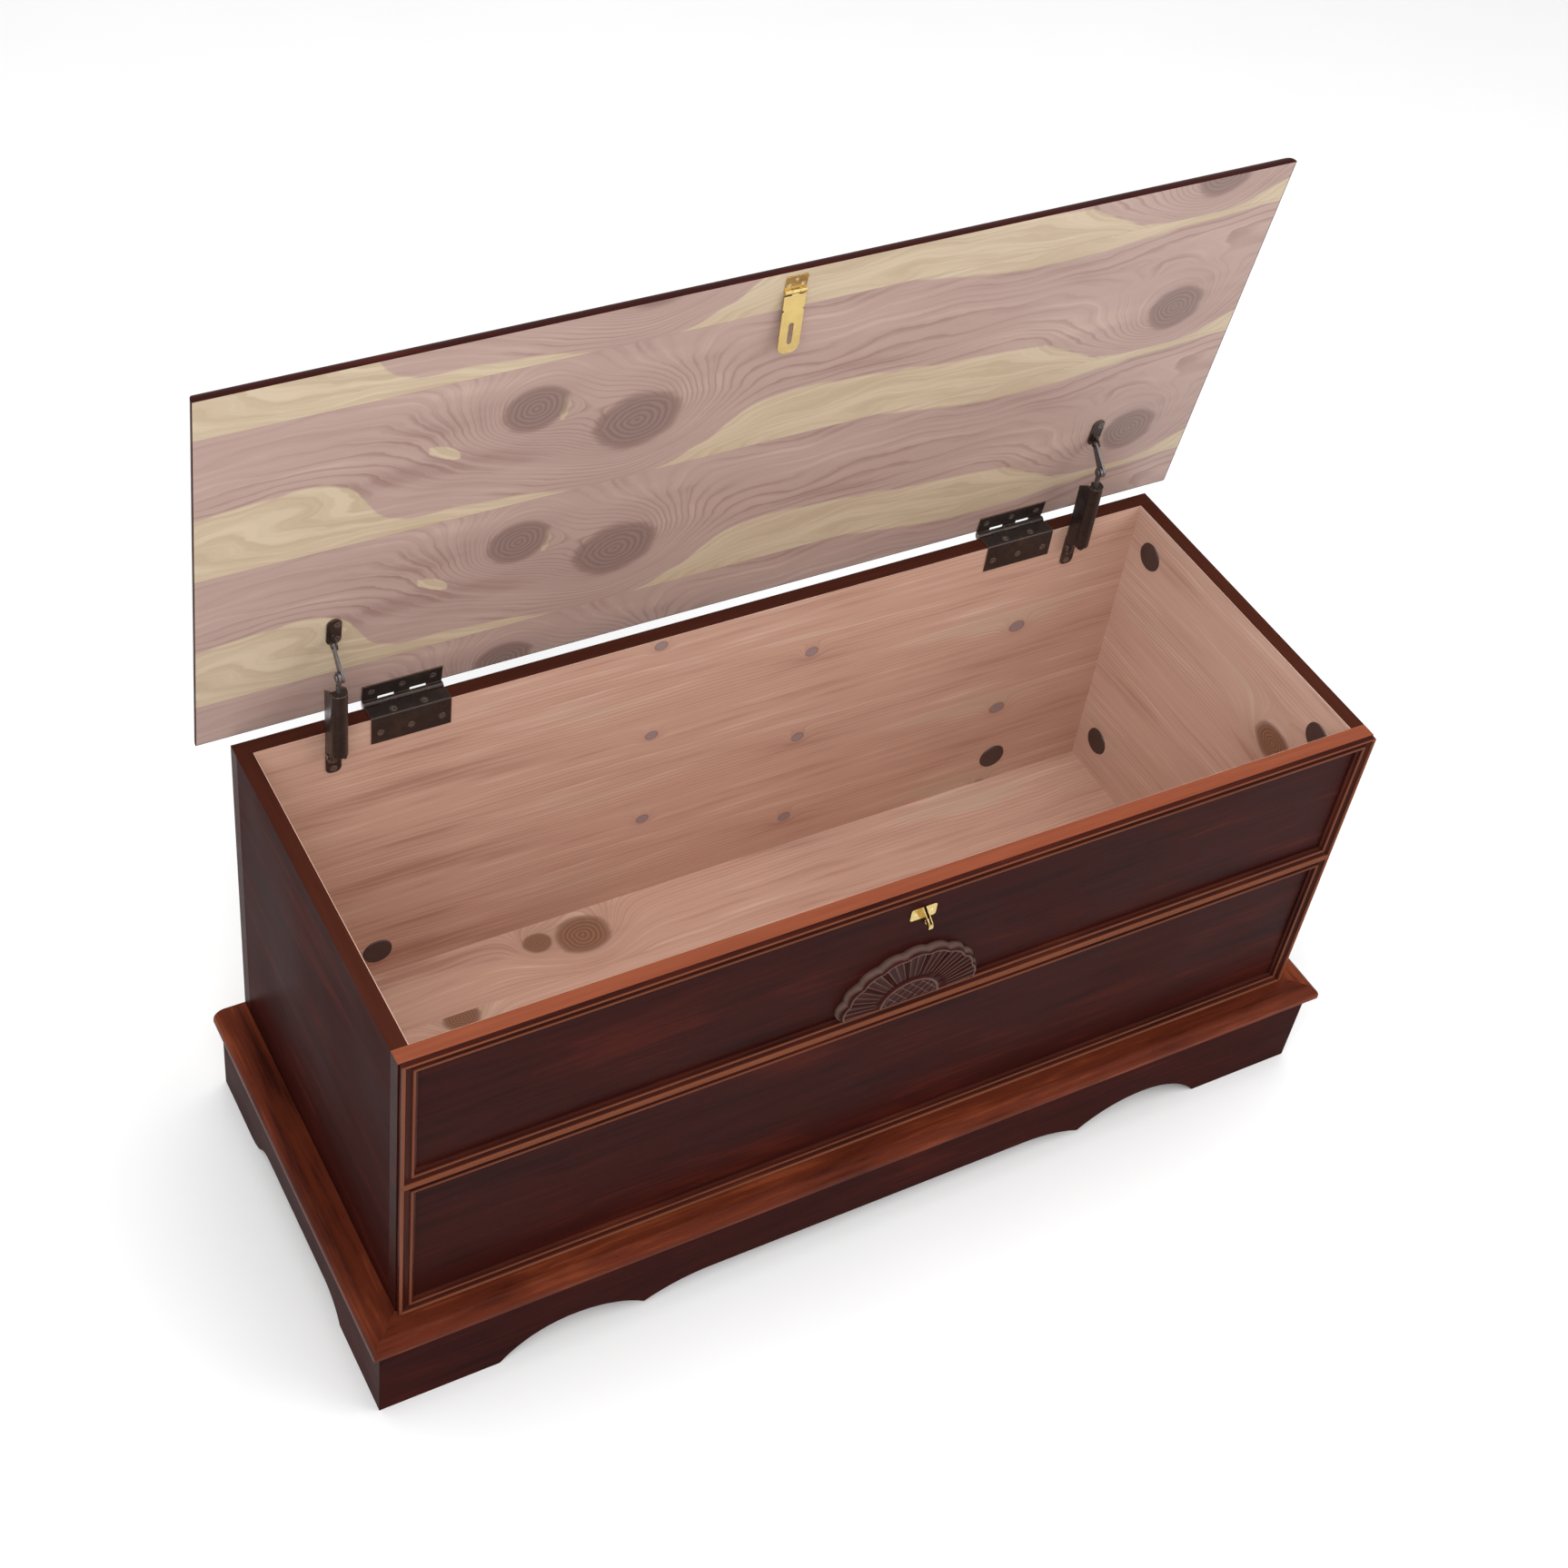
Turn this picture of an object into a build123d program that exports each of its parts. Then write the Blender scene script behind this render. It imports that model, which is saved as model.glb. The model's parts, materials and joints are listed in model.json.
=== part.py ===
from build123d import *

import math
import os

os.makedirs("parts", exist_ok=True)

# Open cedar-lined blanket chest, in millimetres.
# Origin on the floor below the middle of the open chest. +X along the width, +Y to the back,
# +Z up. The front faces -Y. The lid is open and leans a little forward on its two supports.

SIDES = {"left": -1, "right": 1}
HALF_TURN = math.radians(180.0)

# ---- carcase ----
half_w = 562.5
front_y = -212.0
back_y = 224.0
rim_z = 535.0
panel_t = 17.0
lining_t = 1.0
panel_bottom_z = 100.0
floor_top_z = 126.5
floor_t = 12.0
floor_groove = 3.0
inner_x = half_w - panel_t
inner_front_y = front_y + panel_t
inner_back_y = back_y - panel_t
clear_x = inner_x - lining_t
clear_front_y = inner_front_y + lining_t
clear_back_y = inner_back_y - lining_t
lining_top_z = rim_z - 1.0

# ---- mouldings on the front ----
frame_inset = 1.7
frame_w = 17.5
frame_proud = 8.0
frame_joint_z = 349.3
frame_over_rim = 2.5

# ---- plinth ----
skirt_out = 28.0
skirt_t = 18.0
skirt_top_z = 104.0
ledge_top_z = 130.0
ledge_out = 37.5
ledge_round = 13.0
cleat_h = 20.0
cleat_w = 32.0
cleat_gap = 0.5
block_size = 40.0
front_gap_x = 205.0
front_gap_z = 29.0
front_ogee = (284.0, 10.0)
front_arch = (370.0, 41.0)
front_foot_x = 454.0
side_gap_y = (-85.0, 80.0)
side_gap_z = 28.0
side_ogee = (108.0, 14.0)
side_foot_y = (-129.0, 139.0)
rail_gap_w = 900.0
rail_gap_h = 60.0
rail_gap_r = 25.0
ledge_lip_z = 112.0
ledge_cove_z = 108.5
ledge_quirk = 1.0

# ---- fan carving ----
fan_rx = 86.0
fan_rz = 74.5
fan_lobes = 9
fan_proud = 10.0
fan_bevel = 6.0
fan_boss_rx = 35.0
fan_boss_rz = 40.0
fan_boss_rise = 1.0
fan_boss_rim = 3.0
fan_bulge = 0.025
fan_edge_drop = 3.0
fan_edge_scale = 0.99
fan_valley_w = 1.6

# ---- lid ----
lid_half_w = 595.5
lid_depth = 472.0
lid_t = 18.0
lid_border = 0.8
lid_gap = 3.0
lid_open_deg = 82.87
lid_top_round = 17.0
lid_back_y = back_y + 1.0
hinge_y = 229.1
hinge_z = 533.6

# ---- butt hinges ----
hinge_x = 375.2
hinge_len = 88.5
knuckles = 5
knuckle_gap = 0.4
knuckle_r = 4.1
pin_r = 2.2
run_gap = 0.05
leaf_t = 1.2
leaf_slot = 2.4
rim_slot = 1.6
wrap_drop = 34.7
lid_leaf_v = 21.5
hinge_screw_pitch = 34.0
drop_screw_z = 21.0
rim_screw_y = 6.5
wrap_bend_r = 2.0

# ---- lid supports ----
support_x = {"left": -461.0, "right": 450.0}
base_pivot_y = 197.0
base_pivot_z = 509.0
rod_y = 187.6
eye_z = 624.9
foot_v = 112.0
foot_w = 10.0
channel_r = 9.0
channel_t = 1.5
channel_top_z = 605.5
channel_bottom_z = 520.0
channel_back_y = 204.0
rivet_r = 2.0
support_sheet = 1.5
rod_r = 2.8
eye_r = 6.0
eye_hole_r = 3.4
link_rivet_r = 2.2
bracket_screw_z = (481.5, 493.5)
foot_screw_v = (110.0, 131.0)
foot_screw_x = 10.8

# ---- hasp and staple ----
hasp_v = 447.6
hasp_out = 2.6
hasp_half_w = 12.0
hasp_barrel_r = 2.3
hasp_pin_r = 1.0
strap_len = 72.0
strap_t = 1.2
slot_top = 36.3
slot_end = 60.9
slot_w = 5.4
notch_v = 21.0
notch_r = 1.6
hasp_t = 1.0
hasp_leaf_len = 18.5
hasp_screw_spots = ((0.0, 13.5), (-7.5, 7.0), (7.5, 7.0))
hasp_knuckle = 4.0
hasp_gap = 0.6
staple_z = 494.5
staple_plate_t = 1.0
staple_plate_w = 30.0
staple_plate_h = 17.0
staple_screw_x = 9.0
loop_half = 2.5
loop_reach = 17.0
loop_low_z = 486.0
padlock_hole_r = 3.2
padlock_hole_out = 11.6
padlock_hole_rise = 4.8

# ---- screws ----
screw_head_r = 3.8
screw_shank_r = 1.6
screw_len = 13.0
small_head_r = 2.1
small_shank_r = 1.0
small_len = 9.0

# The lid's own plane: X along the width, Y from the back edge to the front edge of the lid,
# Z off the cedar face. The closed corner turns with the lid about the hinge axis.
open_angle = math.radians(lid_open_deg)
corner_y = lid_back_y - hinge_y
corner_z = rim_z + lid_gap - hinge_z
lid_plane = Plane(
    origin=(
        0,
        hinge_y + corner_y * math.cos(open_angle) + corner_z * math.sin(open_angle),
        hinge_z - corner_y * math.sin(open_angle) + corner_z * math.cos(open_angle),
    ),
    x_dir=(1, 0, 0),
    z_dir=(0, -math.sin(open_angle), -math.cos(open_angle)),
)
foot_pivot = lid_plane.from_local_coords((0, foot_v, foot_w))


def save(piece, name):
    """Label a finished sub-part and write it to its own file."""
    piece.part.label = name
    export_step(piece.part, f"parts/{name}.step")
    return piece.part


def facing(x, y, z, direction):
    """Plane at a point whose local Z points along a world direction, with X kept sensible."""
    along = (0, 1, 0) if abs(direction[0]) > 0.5 else (1, 0, 0)
    return Plane(origin=(x, y, z), x_dir=along, z_dir=direction)


# ==================================================================== screws and rivets
def screws(name, places, head_r, shank_r, length):
    """Countersunk cross-head screws, each with its head flush with its own place."""
    head_h = head_r - shank_r
    cross_w = head_r * 0.28
    cross_l = head_r * 1.1
    with BuildPart() as group:
        with Locations(*places):
            Cone(shank_r, head_r, head_h, align=(Align.CENTER, Align.CENTER, Align.MAX))
            Cylinder(shank_r, length, align=(Align.CENTER, Align.CENTER, Align.MAX))
            Box(cross_l, cross_w, head_h, mode=Mode.SUBTRACT)
            Box(cross_w, cross_l, head_h, mode=Mode.SUBTRACT)
    return save(group, name)


def screw_holes(places, head_r, shank_r, length):
    """The bores that the same screws fill, without the cross slots."""
    with BuildPart() as bores:
        with Locations(*places):
            Cone(shank_r, head_r, head_r - shank_r, align=(Align.CENTER, Align.CENTER, Align.MAX))
            Cylinder(shank_r, length, align=(Align.CENTER, Align.CENTER, Align.MAX))
    return bores.part


def hinge_places():
    """Screw places of both hinges: those of the rim leaves, then those of the lid leaves."""
    rim = []
    lid = []
    for side in SIDES.values():
        for step in (-1, 0, 1):
            x = side * hinge_x + step * hinge_screw_pitch
            rim.append(facing(x, clear_back_y - leaf_t, rim_z - drop_screw_z, (0, -1, 0)))
            lid.append(lid_plane * Pos(x, lid_leaf_v / 2, leaf_t))
        for step in (-0.5, 0.5):
            x = side * hinge_x + step * hinge_screw_pitch
            rim.append(facing(x, clear_back_y + rim_screw_y, rim_z + leaf_t, (0, 0, 1)))
    return rim, lid


rim_places, lid_places = hinge_places()
bracket_places = [
    facing(x, clear_back_y - support_sheet, z, (0, -1, 0))
    for x in support_x.values()
    for z in bracket_screw_z
]
foot_places = [
    lid_plane * Pos(x + foot_screw_x, v, support_sheet)
    for x in support_x.values()
    for v in foot_screw_v
]
hasp_places = [lid_plane * Pos(x, hasp_v + v, hasp_t) for x, v in hasp_screw_spots]
staple_places = [
    facing(side * staple_screw_x, front_y - staple_plate_t, staple_z, (0, -1, 0))
    for side in SIDES.values()
]

big = (screw_head_r, screw_shank_r, screw_len)
small = (small_head_r, small_shank_r, small_len)
screws("hinge_rim_screws", rim_places, *big)
screws("hinge_lid_screws", lid_places, *big)
screws("support_bracket_screws", bracket_places, *big)
screws("support_foot_screws", foot_places, *big)
screws("hasp_screws", hasp_places, *small)
screws("staple_screws", staple_places, *small)
carcase_bores = screw_holes(rim_places + bracket_places, *big)
lid_bores = screw_holes(lid_places + foot_places, *big)
hasp_bores = screw_holes(hasp_places, *small)
staple_bores = screw_holes(staple_places, *small)

# ==================================================================== knock-down fittings
# Cam discs lie in the inner faces under round caps. Each has a bolt that runs inside the
# panel into the next board: down into the plinth, or sideways into the front or back panel.
cap_r = 17.5
cap_t = 1.6
cap_taper = 0.8
cam_r = 15.0
cam_depth = 11.0
bolt_r = 3.0
bolt_depth = lining_t + panel_t / 2
low_bolt_len = 82.0
side_bolt_len = 50.0
low_cap_z = 168.0
cap_x = 412.0
side_cap_z = (180.0, 486.0)
side_cap_y = 162.0
mid_y = (front_y + back_y) / 2

cam_places = []
bolt_ends = []
for side in SIDES.values():
    for wall_y, inward in ((clear_front_y, 1), (clear_back_y, -1)):
        place = facing(side * cap_x, wall_y, low_cap_z, (0, inward, 0))
        cam_places.append(place)
        centre = place.from_local_coords((0, 0, -bolt_depth))
        bolt_ends.append((Plane(origin=centre, x_dir=(1, 0, 0), z_dir=(0, 0, -1)), low_bolt_len))
    for z in side_cap_z:
        for end in (-1, 1):
            place = facing(side * clear_x, mid_y + end * side_cap_y, z, (-side, 0, 0))
            cam_places.append(place)
            centre = place.from_local_coords((0, 0, -bolt_depth))
            bolt_ends.append((Plane(origin=centre, x_dir=(1, 0, 0), z_dir=(0, end, 0)), side_bolt_len))


def cam_fittings():
    """Cam discs and the bolts that they draw tight."""
    with BuildPart() as fittings:
        with Locations(*cam_places):
            Cylinder(cam_r, cam_depth, align=(Align.CENTER, Align.CENTER, Align.MAX))
        for place, length in bolt_ends:
            with Locations(place):
                Cylinder(bolt_r, length, align=(Align.CENTER, Align.CENTER, Align.MIN))
    return save(fittings, "cam_fittings")


def cover_caps():
    """Round plastic caps over the cam discs, with a slanted rim."""
    with BuildPart() as caps:
        with Locations(*cam_places):
            Cone(cap_r, cap_r - cap_taper, cap_t, align=(Align.CENTER, Align.CENTER, Align.MIN))
    return save(caps, "cover_caps")


cams = cam_fittings()
cover_caps()


# ==================================================================== boards and linings
def board(name, low, high, *cuts):
    """A board between two corners, less the fittings that are let into it."""
    centre = tuple((a + b) / 2 for a, b in zip(low, high))
    with BuildPart() as piece:
        with Locations(centre):
            Box(*[b - a for a, b in zip(low, high)])
        for cut in cuts:
            add(cut, mode=Mode.SUBTRACT)
    return save(piece, name)


board_bottom = floor_top_z - lining_t - floor_t
floor_board = board(
    "floor_board",
    (-inner_x - floor_groove, inner_front_y - floor_groove, board_bottom),
    (inner_x + floor_groove, inner_back_y + floor_groove, board_bottom + floor_t),
)
board(
    "front_panel",
    (-half_w, front_y, panel_bottom_z),
    (half_w, inner_front_y, rim_z),
    floor_board,
    cams,
    staple_bores,
)
board(
    "back_panel",
    (-half_w, inner_back_y, panel_bottom_z),
    (half_w, back_y, rim_z),
    floor_board,
    cams,
    carcase_bores,
)
board(
    "floor_lining",
    (-inner_x, inner_front_y, floor_top_z - lining_t),
    (inner_x, inner_back_y, floor_top_z),
)
board(
    "front_lining",
    (-inner_x, inner_front_y, floor_top_z),
    (inner_x, clear_front_y, lining_top_z),
    cams,
)
board(
    "back_lining",
    (-inner_x, clear_back_y, floor_top_z),
    (inner_x, inner_back_y, lining_top_z),
    cams,
    carcase_bores,
)
for side_name, side in SIDES.items():
    outer, inner, clear = side * half_w, side * inner_x, side * clear_x
    board(
        f"{side_name}_side_panel",
        (min(outer, inner), inner_front_y, panel_bottom_z),
        (max(outer, inner), inner_back_y, rim_z),
        floor_board,
        cams,
    )
    board(
        f"{side_name}_side_lining",
        (min(inner, clear), clear_front_y, floor_top_z),
        (max(inner, clear), clear_back_y, lining_top_z),
        cams,
    )


# ==================================================================== front mouldings
def frame_side(name, low_z, high_z, edge):
    """One mitred length of a picture frame that lies on the front panel."""
    x = half_w - frame_inset
    corner = {"bottom": (-x, low_z), "right": (x, low_z), "top": (x, high_z), "left": (-x, high_z)}[edge]
    run = {"bottom": (1, 0, 0), "right": (0, 0, 1), "top": (-1, 0, 0), "left": (0, 0, -1)}[edge]
    inward = {"bottom": (0, 0, 1), "right": (-1, 0, 0), "top": (0, 0, -1), "left": (1, 0, 0)}[edge]
    length = 2 * x if run[0] else high_z - low_z
    origin = (corner[0], front_y, corner[1])
    with BuildPart() as piece:
        with BuildSketch(Plane(origin=origin, x_dir=inward, z_dir=run)):
            with BuildLine():
                Line((0, 0), (0, 6.2))
                ThreePointArc((0, 6.2), (1.8, frame_proud), (3.6, 6.2))
                Line((3.6, 6.2), (3.6, 5.2))
                ThreePointArc((3.6, 5.2), (7.2, 3.6), (10.5, 4.4))
                Line((10.5, 4.4), (10.5, 5.4))
                ThreePointArc((10.5, 5.4), (12.4, 6.6), (14.3, 5.4))
                Line((14.3, 5.4), (14.3, 3.2))
                Line((14.3, 3.2), (frame_w, 2.2))
                Line((frame_w, 2.2), (frame_w, 0))
                Line((frame_w, 0), (0, 0))
            make_face()
        extrude(amount=length)
        with BuildSketch(Plane(origin=origin, x_dir=run, z_dir=(0, -1, 0))):
            with BuildLine():
                Polyline((0, 0), (length, 0), (length - frame_w, frame_w), (frame_w, frame_w), close=True)
            make_face()
        extrude(amount=frame_proud, mode=Mode.INTERSECT)
        if high_z > rim_z:
            split(bisect_by=Plane.XY.offset(rim_z), keep=Keep.BOTTOM)
    return save(piece, name)


for edge in ("top", "bottom", "left", "right"):
    frame_side(f"upper_{edge}_moulding", frame_joint_z, rim_z + frame_over_rim, edge)
    frame_side(f"lower_{edge}_moulding", ledge_top_z, frame_joint_z, edge)


# ==================================================================== fan carving
def fan_point(scale, step):
    """A point on the fan's half ellipse, a number of lobe widths round from the right."""
    angle = HALF_TURN * step / fan_lobes
    return (scale * fan_rx * math.cos(angle), scale * fan_rz * math.sin(angle))


def fan_outline(scale):
    """Scalloped outline of the shell: one bulging arc for each lobe."""
    with BuildLine() as outline:
        for lobe in range(fan_lobes):
            ThreePointArc(
                fan_point(scale * (1 - fan_bulge), lobe),
                fan_point(scale * (1 + fan_bulge), lobe + 0.5),
                fan_point(scale * (1 - fan_bulge), lobe + 1),
            )
        Line(fan_point(scale * (1 - fan_bulge), fan_lobes), fan_point(scale * (1 - fan_bulge), 0))
    return outline.line


def fan_carving():
    """Half-round shell of nine lobes with a bevelled edge, round a raised half-round boss."""
    wall = Plane(origin=(0, front_y, frame_joint_z + frame_w), x_dir=(1, 0, 0), z_dir=(0, -1, 0))
    shoulder = wall.offset(fan_proud - fan_edge_drop)
    face = wall.offset(fan_proud)
    with BuildPart() as fan:
        for low, low_scale, high, high_scale in (
            (wall, 1.0, shoulder, fan_edge_scale),
            (shoulder, fan_edge_scale, face, 1 - fan_bevel / fan_rx),
        ):
            with BuildSketch(low):
                add(fan_outline(low_scale))
                make_face()
            with BuildSketch(high):
                add(fan_outline(high_scale))
                make_face()
            loft(ruled=True)
        # V-shaped valleys between the lobes
        for valley in range(1, fan_lobes):
            tip = fan_point(1.0, valley)
            slant = math.degrees(math.atan2(tip[1], tip[0]))
            with Locations(face * Rot(0, 0, slant) * Pos(fan_rx / 2, 0, 0)):
                Box(1.2 * fan_rx, fan_valley_w, fan_valley_w, rotation=(45, 0, 0), mode=Mode.SUBTRACT)
        with BuildSketch(wall):
            half_ellipse(fan_boss_rx, fan_boss_rz)
        extrude(amount=fan_proud + fan_boss_rise)
        with BuildSketch(face):
            half_ellipse(fan_boss_rx - fan_boss_rim, fan_boss_rz - fan_boss_rim)
        extrude(amount=fan_boss_rise, mode=Mode.SUBTRACT)
    return save(fan, "fan_carving")


def half_ellipse(x_radius, y_radius):
    """Upper half of an ellipse, drawn in the sketch that is open."""
    Ellipse(x_radius, y_radius)
    with Locations((0, -y_radius)):
        Rectangle(2 * x_radius, 2 * y_radius, mode=Mode.SUBTRACT)


fan_carving()


# ==================================================================== plinth
def corner_trim(out_x, out_y, thick, edge):
    """Plan outline of one mitred side of the plinth, seen from above."""
    if edge == "front":
        return [
            (-out_x, out_y),
            (out_x, out_y),
            (out_x - thick, out_y + thick),
            (-out_x + thick, out_y + thick),
        ]
    side = SIDES[edge]
    return [
        (side * out_x, out_y),
        (side * out_x, back_y),
        (side * (out_x - thick), back_y),
        (side * (out_x - thick), out_y + thick),
    ]


skirt_x = half_w + skirt_out
skirt_y = front_y - skirt_out


def front_skirt():
    """Front of the plinth, with an arch inside each foot and a shallow gap between them."""
    gap_end = (front_gap_x, front_gap_z)
    with BuildPart() as skirt:
        with BuildSketch(Plane(origin=(0, skirt_y, 0), x_dir=(1, 0, 0), z_dir=(0, -1, 0))):
            with BuildLine():
                Polyline(gap_end, (0, front_gap_z), (0, skirt_top_z), (skirt_x, skirt_top_z))
                Polyline((skirt_x, skirt_top_z), (skirt_x, 0), (front_foot_x, 0))
                TangentArc(front_arch, (front_foot_x, 0), tangent=(1, 0))
                TangentArc(front_arch, front_ogee, tangent=(-1, 0))
                TangentArc(gap_end, front_ogee, tangent=(1, 0))
            make_face()
            mirror(about=Plane.YZ)
        extrude(amount=-skirt_t)
        with BuildSketch(Plane.XY):
            Polygon(*corner_trim(skirt_x, skirt_y, skirt_t, "front"), align=None)
        extrude(amount=skirt_top_z, mode=Mode.INTERSECT)
    return save(skirt, "front_skirt")


def side_skirt(edge):
    """Side of the plinth, mitred to the front, with one gap between its feet."""
    side = SIDES[edge]
    front_foot, back_foot = side_foot_y
    gap_front, gap_back = side_gap_y
    outline_plane = Plane(origin=(side * skirt_x, 0, 0), x_dir=(0, 1, 0), z_dir=(1, 0, 0))
    with BuildPart() as skirt:
        with BuildSketch(outline_plane):
            with BuildLine():
                Polyline((front_foot, 0), (skirt_y, 0), (skirt_y, skirt_top_z), (back_y, skirt_top_z))
                Polyline((back_y, skirt_top_z), (back_y, 0), (back_foot, 0))
                TangentArc((back_foot, 0), side_ogee, tangent=(-1, 0))
                TangentArc((gap_back, side_gap_z), side_ogee, tangent=(1, 0))
                Line((gap_back, side_gap_z), (gap_front, side_gap_z))
                TangentArc((gap_front, side_gap_z), (front_foot, 0), tangent=(-1, 0))
            make_face()
        extrude(amount=-side * skirt_t)
        with BuildSketch(Plane.XY):
            Polygon(*corner_trim(skirt_x, skirt_y, skirt_t, edge), align=None)
        extrude(amount=skirt_top_z, mode=Mode.INTERSECT)
    return save(skirt, f"{edge}_skirt")


def ledge(edge):
    """Moulding on top of the plinth: flat top, quarter-round nose, small cove below."""
    nose = ledge_out
    lip = (nose - 1.5 * ledge_quirk, ledge_lip_z)
    cove_x = skirt_out + ledge_quirk
    if edge == "front":
        section = Plane(origin=(0, front_y, 0), x_dir=(0, -1, 0), z_dir=(-1, 0, 0))
    else:
        side = SIDES[edge]
        section = Plane(origin=(side * half_w, 0, 0), x_dir=(side, 0, 0), z_dir=(0, -side, 0))
    with BuildPart() as piece:
        with BuildSketch(section):
            with BuildLine():
                Polyline((0, skirt_top_z), (0, ledge_top_z), (nose - ledge_round, ledge_top_z))
                RadiusArc((nose - ledge_round, ledge_top_z), (nose, ledge_top_z - ledge_round), ledge_round)
                Polyline((nose, ledge_top_z - ledge_round), (nose, ledge_lip_z + ledge_quirk), lip)
                ThreePointArc(lip, (skirt_out + 3.4, ledge_cove_z), (cove_x, skirt_top_z))
                Line((cove_x, skirt_top_z), (0, skirt_top_z))
            make_face()
        extrude(amount=half_w + nose, both=True)
        with BuildSketch(Plane.XY):
            Polygon(*corner_trim(half_w + nose, front_y - nose, nose, edge), align=None)
        extrude(amount=ledge_top_z, mode=Mode.INTERSECT)
    return save(piece, f"{edge}_ledge")


def back_rail():
    """Plain rail across the back of the plinth, cut away in the middle of its lower edge."""
    half = skirt_x - skirt_t
    with BuildPart() as rail:
        with BuildSketch(Plane(origin=(0, back_y, 0), x_dir=(1, 0, 0), z_dir=(0, -1, 0))):
            with Locations((0, panel_bottom_z / 2)):
                Rectangle(2 * half, panel_bottom_z)
            RectangleRounded(rail_gap_w, rail_gap_h, rail_gap_r, mode=Mode.SUBTRACT)
        extrude(amount=skirt_t)
        add(cams, mode=Mode.SUBTRACT)
    return save(rail, "back_rail")


def plinth_cleats():
    """Three cleats inside the plinth that carry the box."""
    half = skirt_x - skirt_t
    front = skirt_y + skirt_t
    rear = back_y - skirt_t
    side_len = rear - front - cleat_w - cleat_gap
    with BuildPart() as cleats:
        with BuildSketch(Plane.XY.offset(panel_bottom_z)):
            with Locations((0, front + cleat_w / 2)):
                Rectangle(2 * half, cleat_w)
            for side in SIDES.values():
                with Locations((side * (half - cleat_w / 2), rear - side_len / 2)):
                    Rectangle(cleat_w, side_len)
        extrude(amount=-cleat_h)
        add(cams, mode=Mode.SUBTRACT)
    return save(cleats, "plinth_cleats")


def corner_blocks():
    """Square blocks glued into the four corners of the plinth, under the cleats."""
    half = skirt_x - skirt_t
    with BuildPart() as blocks:
        with BuildSketch(Plane.XY):
            for side in SIDES.values():
                for y in (skirt_y + skirt_t + block_size / 2, back_y - skirt_t - block_size / 2):
                    with Locations((side * (half - block_size / 2), y)):
                        Rectangle(block_size, block_size)
        extrude(amount=panel_bottom_z - cleat_h)
    return save(blocks, "corner_blocks")


front_skirt()
back_rail()
plinth_cleats()
corner_blocks()
for edge in SIDES:
    side_skirt(edge)
for edge in ("front", "left", "right"):
    ledge(edge)


# ==================================================================== lid
def lid_board():
    """Lid with a deep round on its outer edges, and the cedar sheet let into its inner face."""
    upward = Axis(lid_plane.origin, lid_plane.z_dir)
    lining_place = lid_plane * Pos(0, lid_depth / 2, -lining_t / 2)
    with BuildPart() as lid_panel:
        with Locations(lid_plane * Pos(0, lid_depth / 2, -lid_t / 2)):
            Box(2 * lid_half_w, lid_depth, lid_t)
        fillet(lid_panel.edges().group_by(upward)[0], radius=lid_top_round)
        with Locations(lining_place):
            Box(2 * (lid_half_w - lid_border), lid_depth - 2 * lid_border, lining_t, mode=Mode.SUBTRACT)
        add(lid_bores, mode=Mode.SUBTRACT)
        add(hasp_bores, mode=Mode.SUBTRACT)
    save(lid_panel, "lid_panel")
    with BuildPart() as lid_lining:
        with Locations(lining_place):
            Box(2 * (lid_half_w - lid_border), lid_depth - 2 * lid_border, lining_t)
        add(lid_bores, mode=Mode.SUBTRACT)
        add(hasp_bores, mode=Mode.SUBTRACT)
    save(lid_lining, "lid_lining")


lid_board()


# ==================================================================== butt hinges
knuckle_len = (hinge_len - (knuckles - 1) * knuckle_gap) / knuckles


def knuckle_x(index):
    """Middle of a knuckle, measured from the middle of its hinge."""
    return (index - (knuckles - 1) / 2) * (knuckle_len + knuckle_gap)


def hinge_rim_leaf(edge):
    """Leaf that lies on the rim and turns down inside the back, with knuckles two and four."""
    x = SIDES[edge] * hinge_x
    axle = Plane(origin=(x, hinge_y, hinge_z), x_dir=(0, 1, 0), z_dir=(1, 0, 0))
    front = clear_back_y - leaf_t
    with BuildPart() as leaf:
        with Locations((x, (front + hinge_y) / 2, rim_z + leaf_t / 2)):
            Box(hinge_len, hinge_y - front, leaf_t)
        with Locations((x, front + leaf_t / 2, rim_z + leaf_t - (wrap_drop + leaf_t) / 2)):
            Box(hinge_len, leaf_t, wrap_drop + leaf_t)
        bend = leaf.edges().filter_by(Axis.X).group_by(Axis.Z)[-1].sort_by(Axis.Y)[0]
        fillet(bend, radius=wrap_bend_r)
        for index in range(knuckles):
            spot = x + knuckle_x(index)
            if index % 2:
                with Locations(axle.offset(knuckle_x(index))):
                    Cylinder(knuckle_r, knuckle_len)
            else:
                slot = hinge_y - back_y + rim_slot
                with Locations((spot, hinge_y - slot / 2, rim_z + leaf_t / 2)):
                    Box(knuckle_len + 2 * knuckle_gap, slot, leaf_t, mode=Mode.SUBTRACT)
        with Locations(axle):
            Cylinder(pin_r + run_gap, hinge_len, mode=Mode.SUBTRACT)
        add(carcase_bores, mode=Mode.SUBTRACT)
    return save(leaf, f"{edge}_hinge_rim_leaf")


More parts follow.
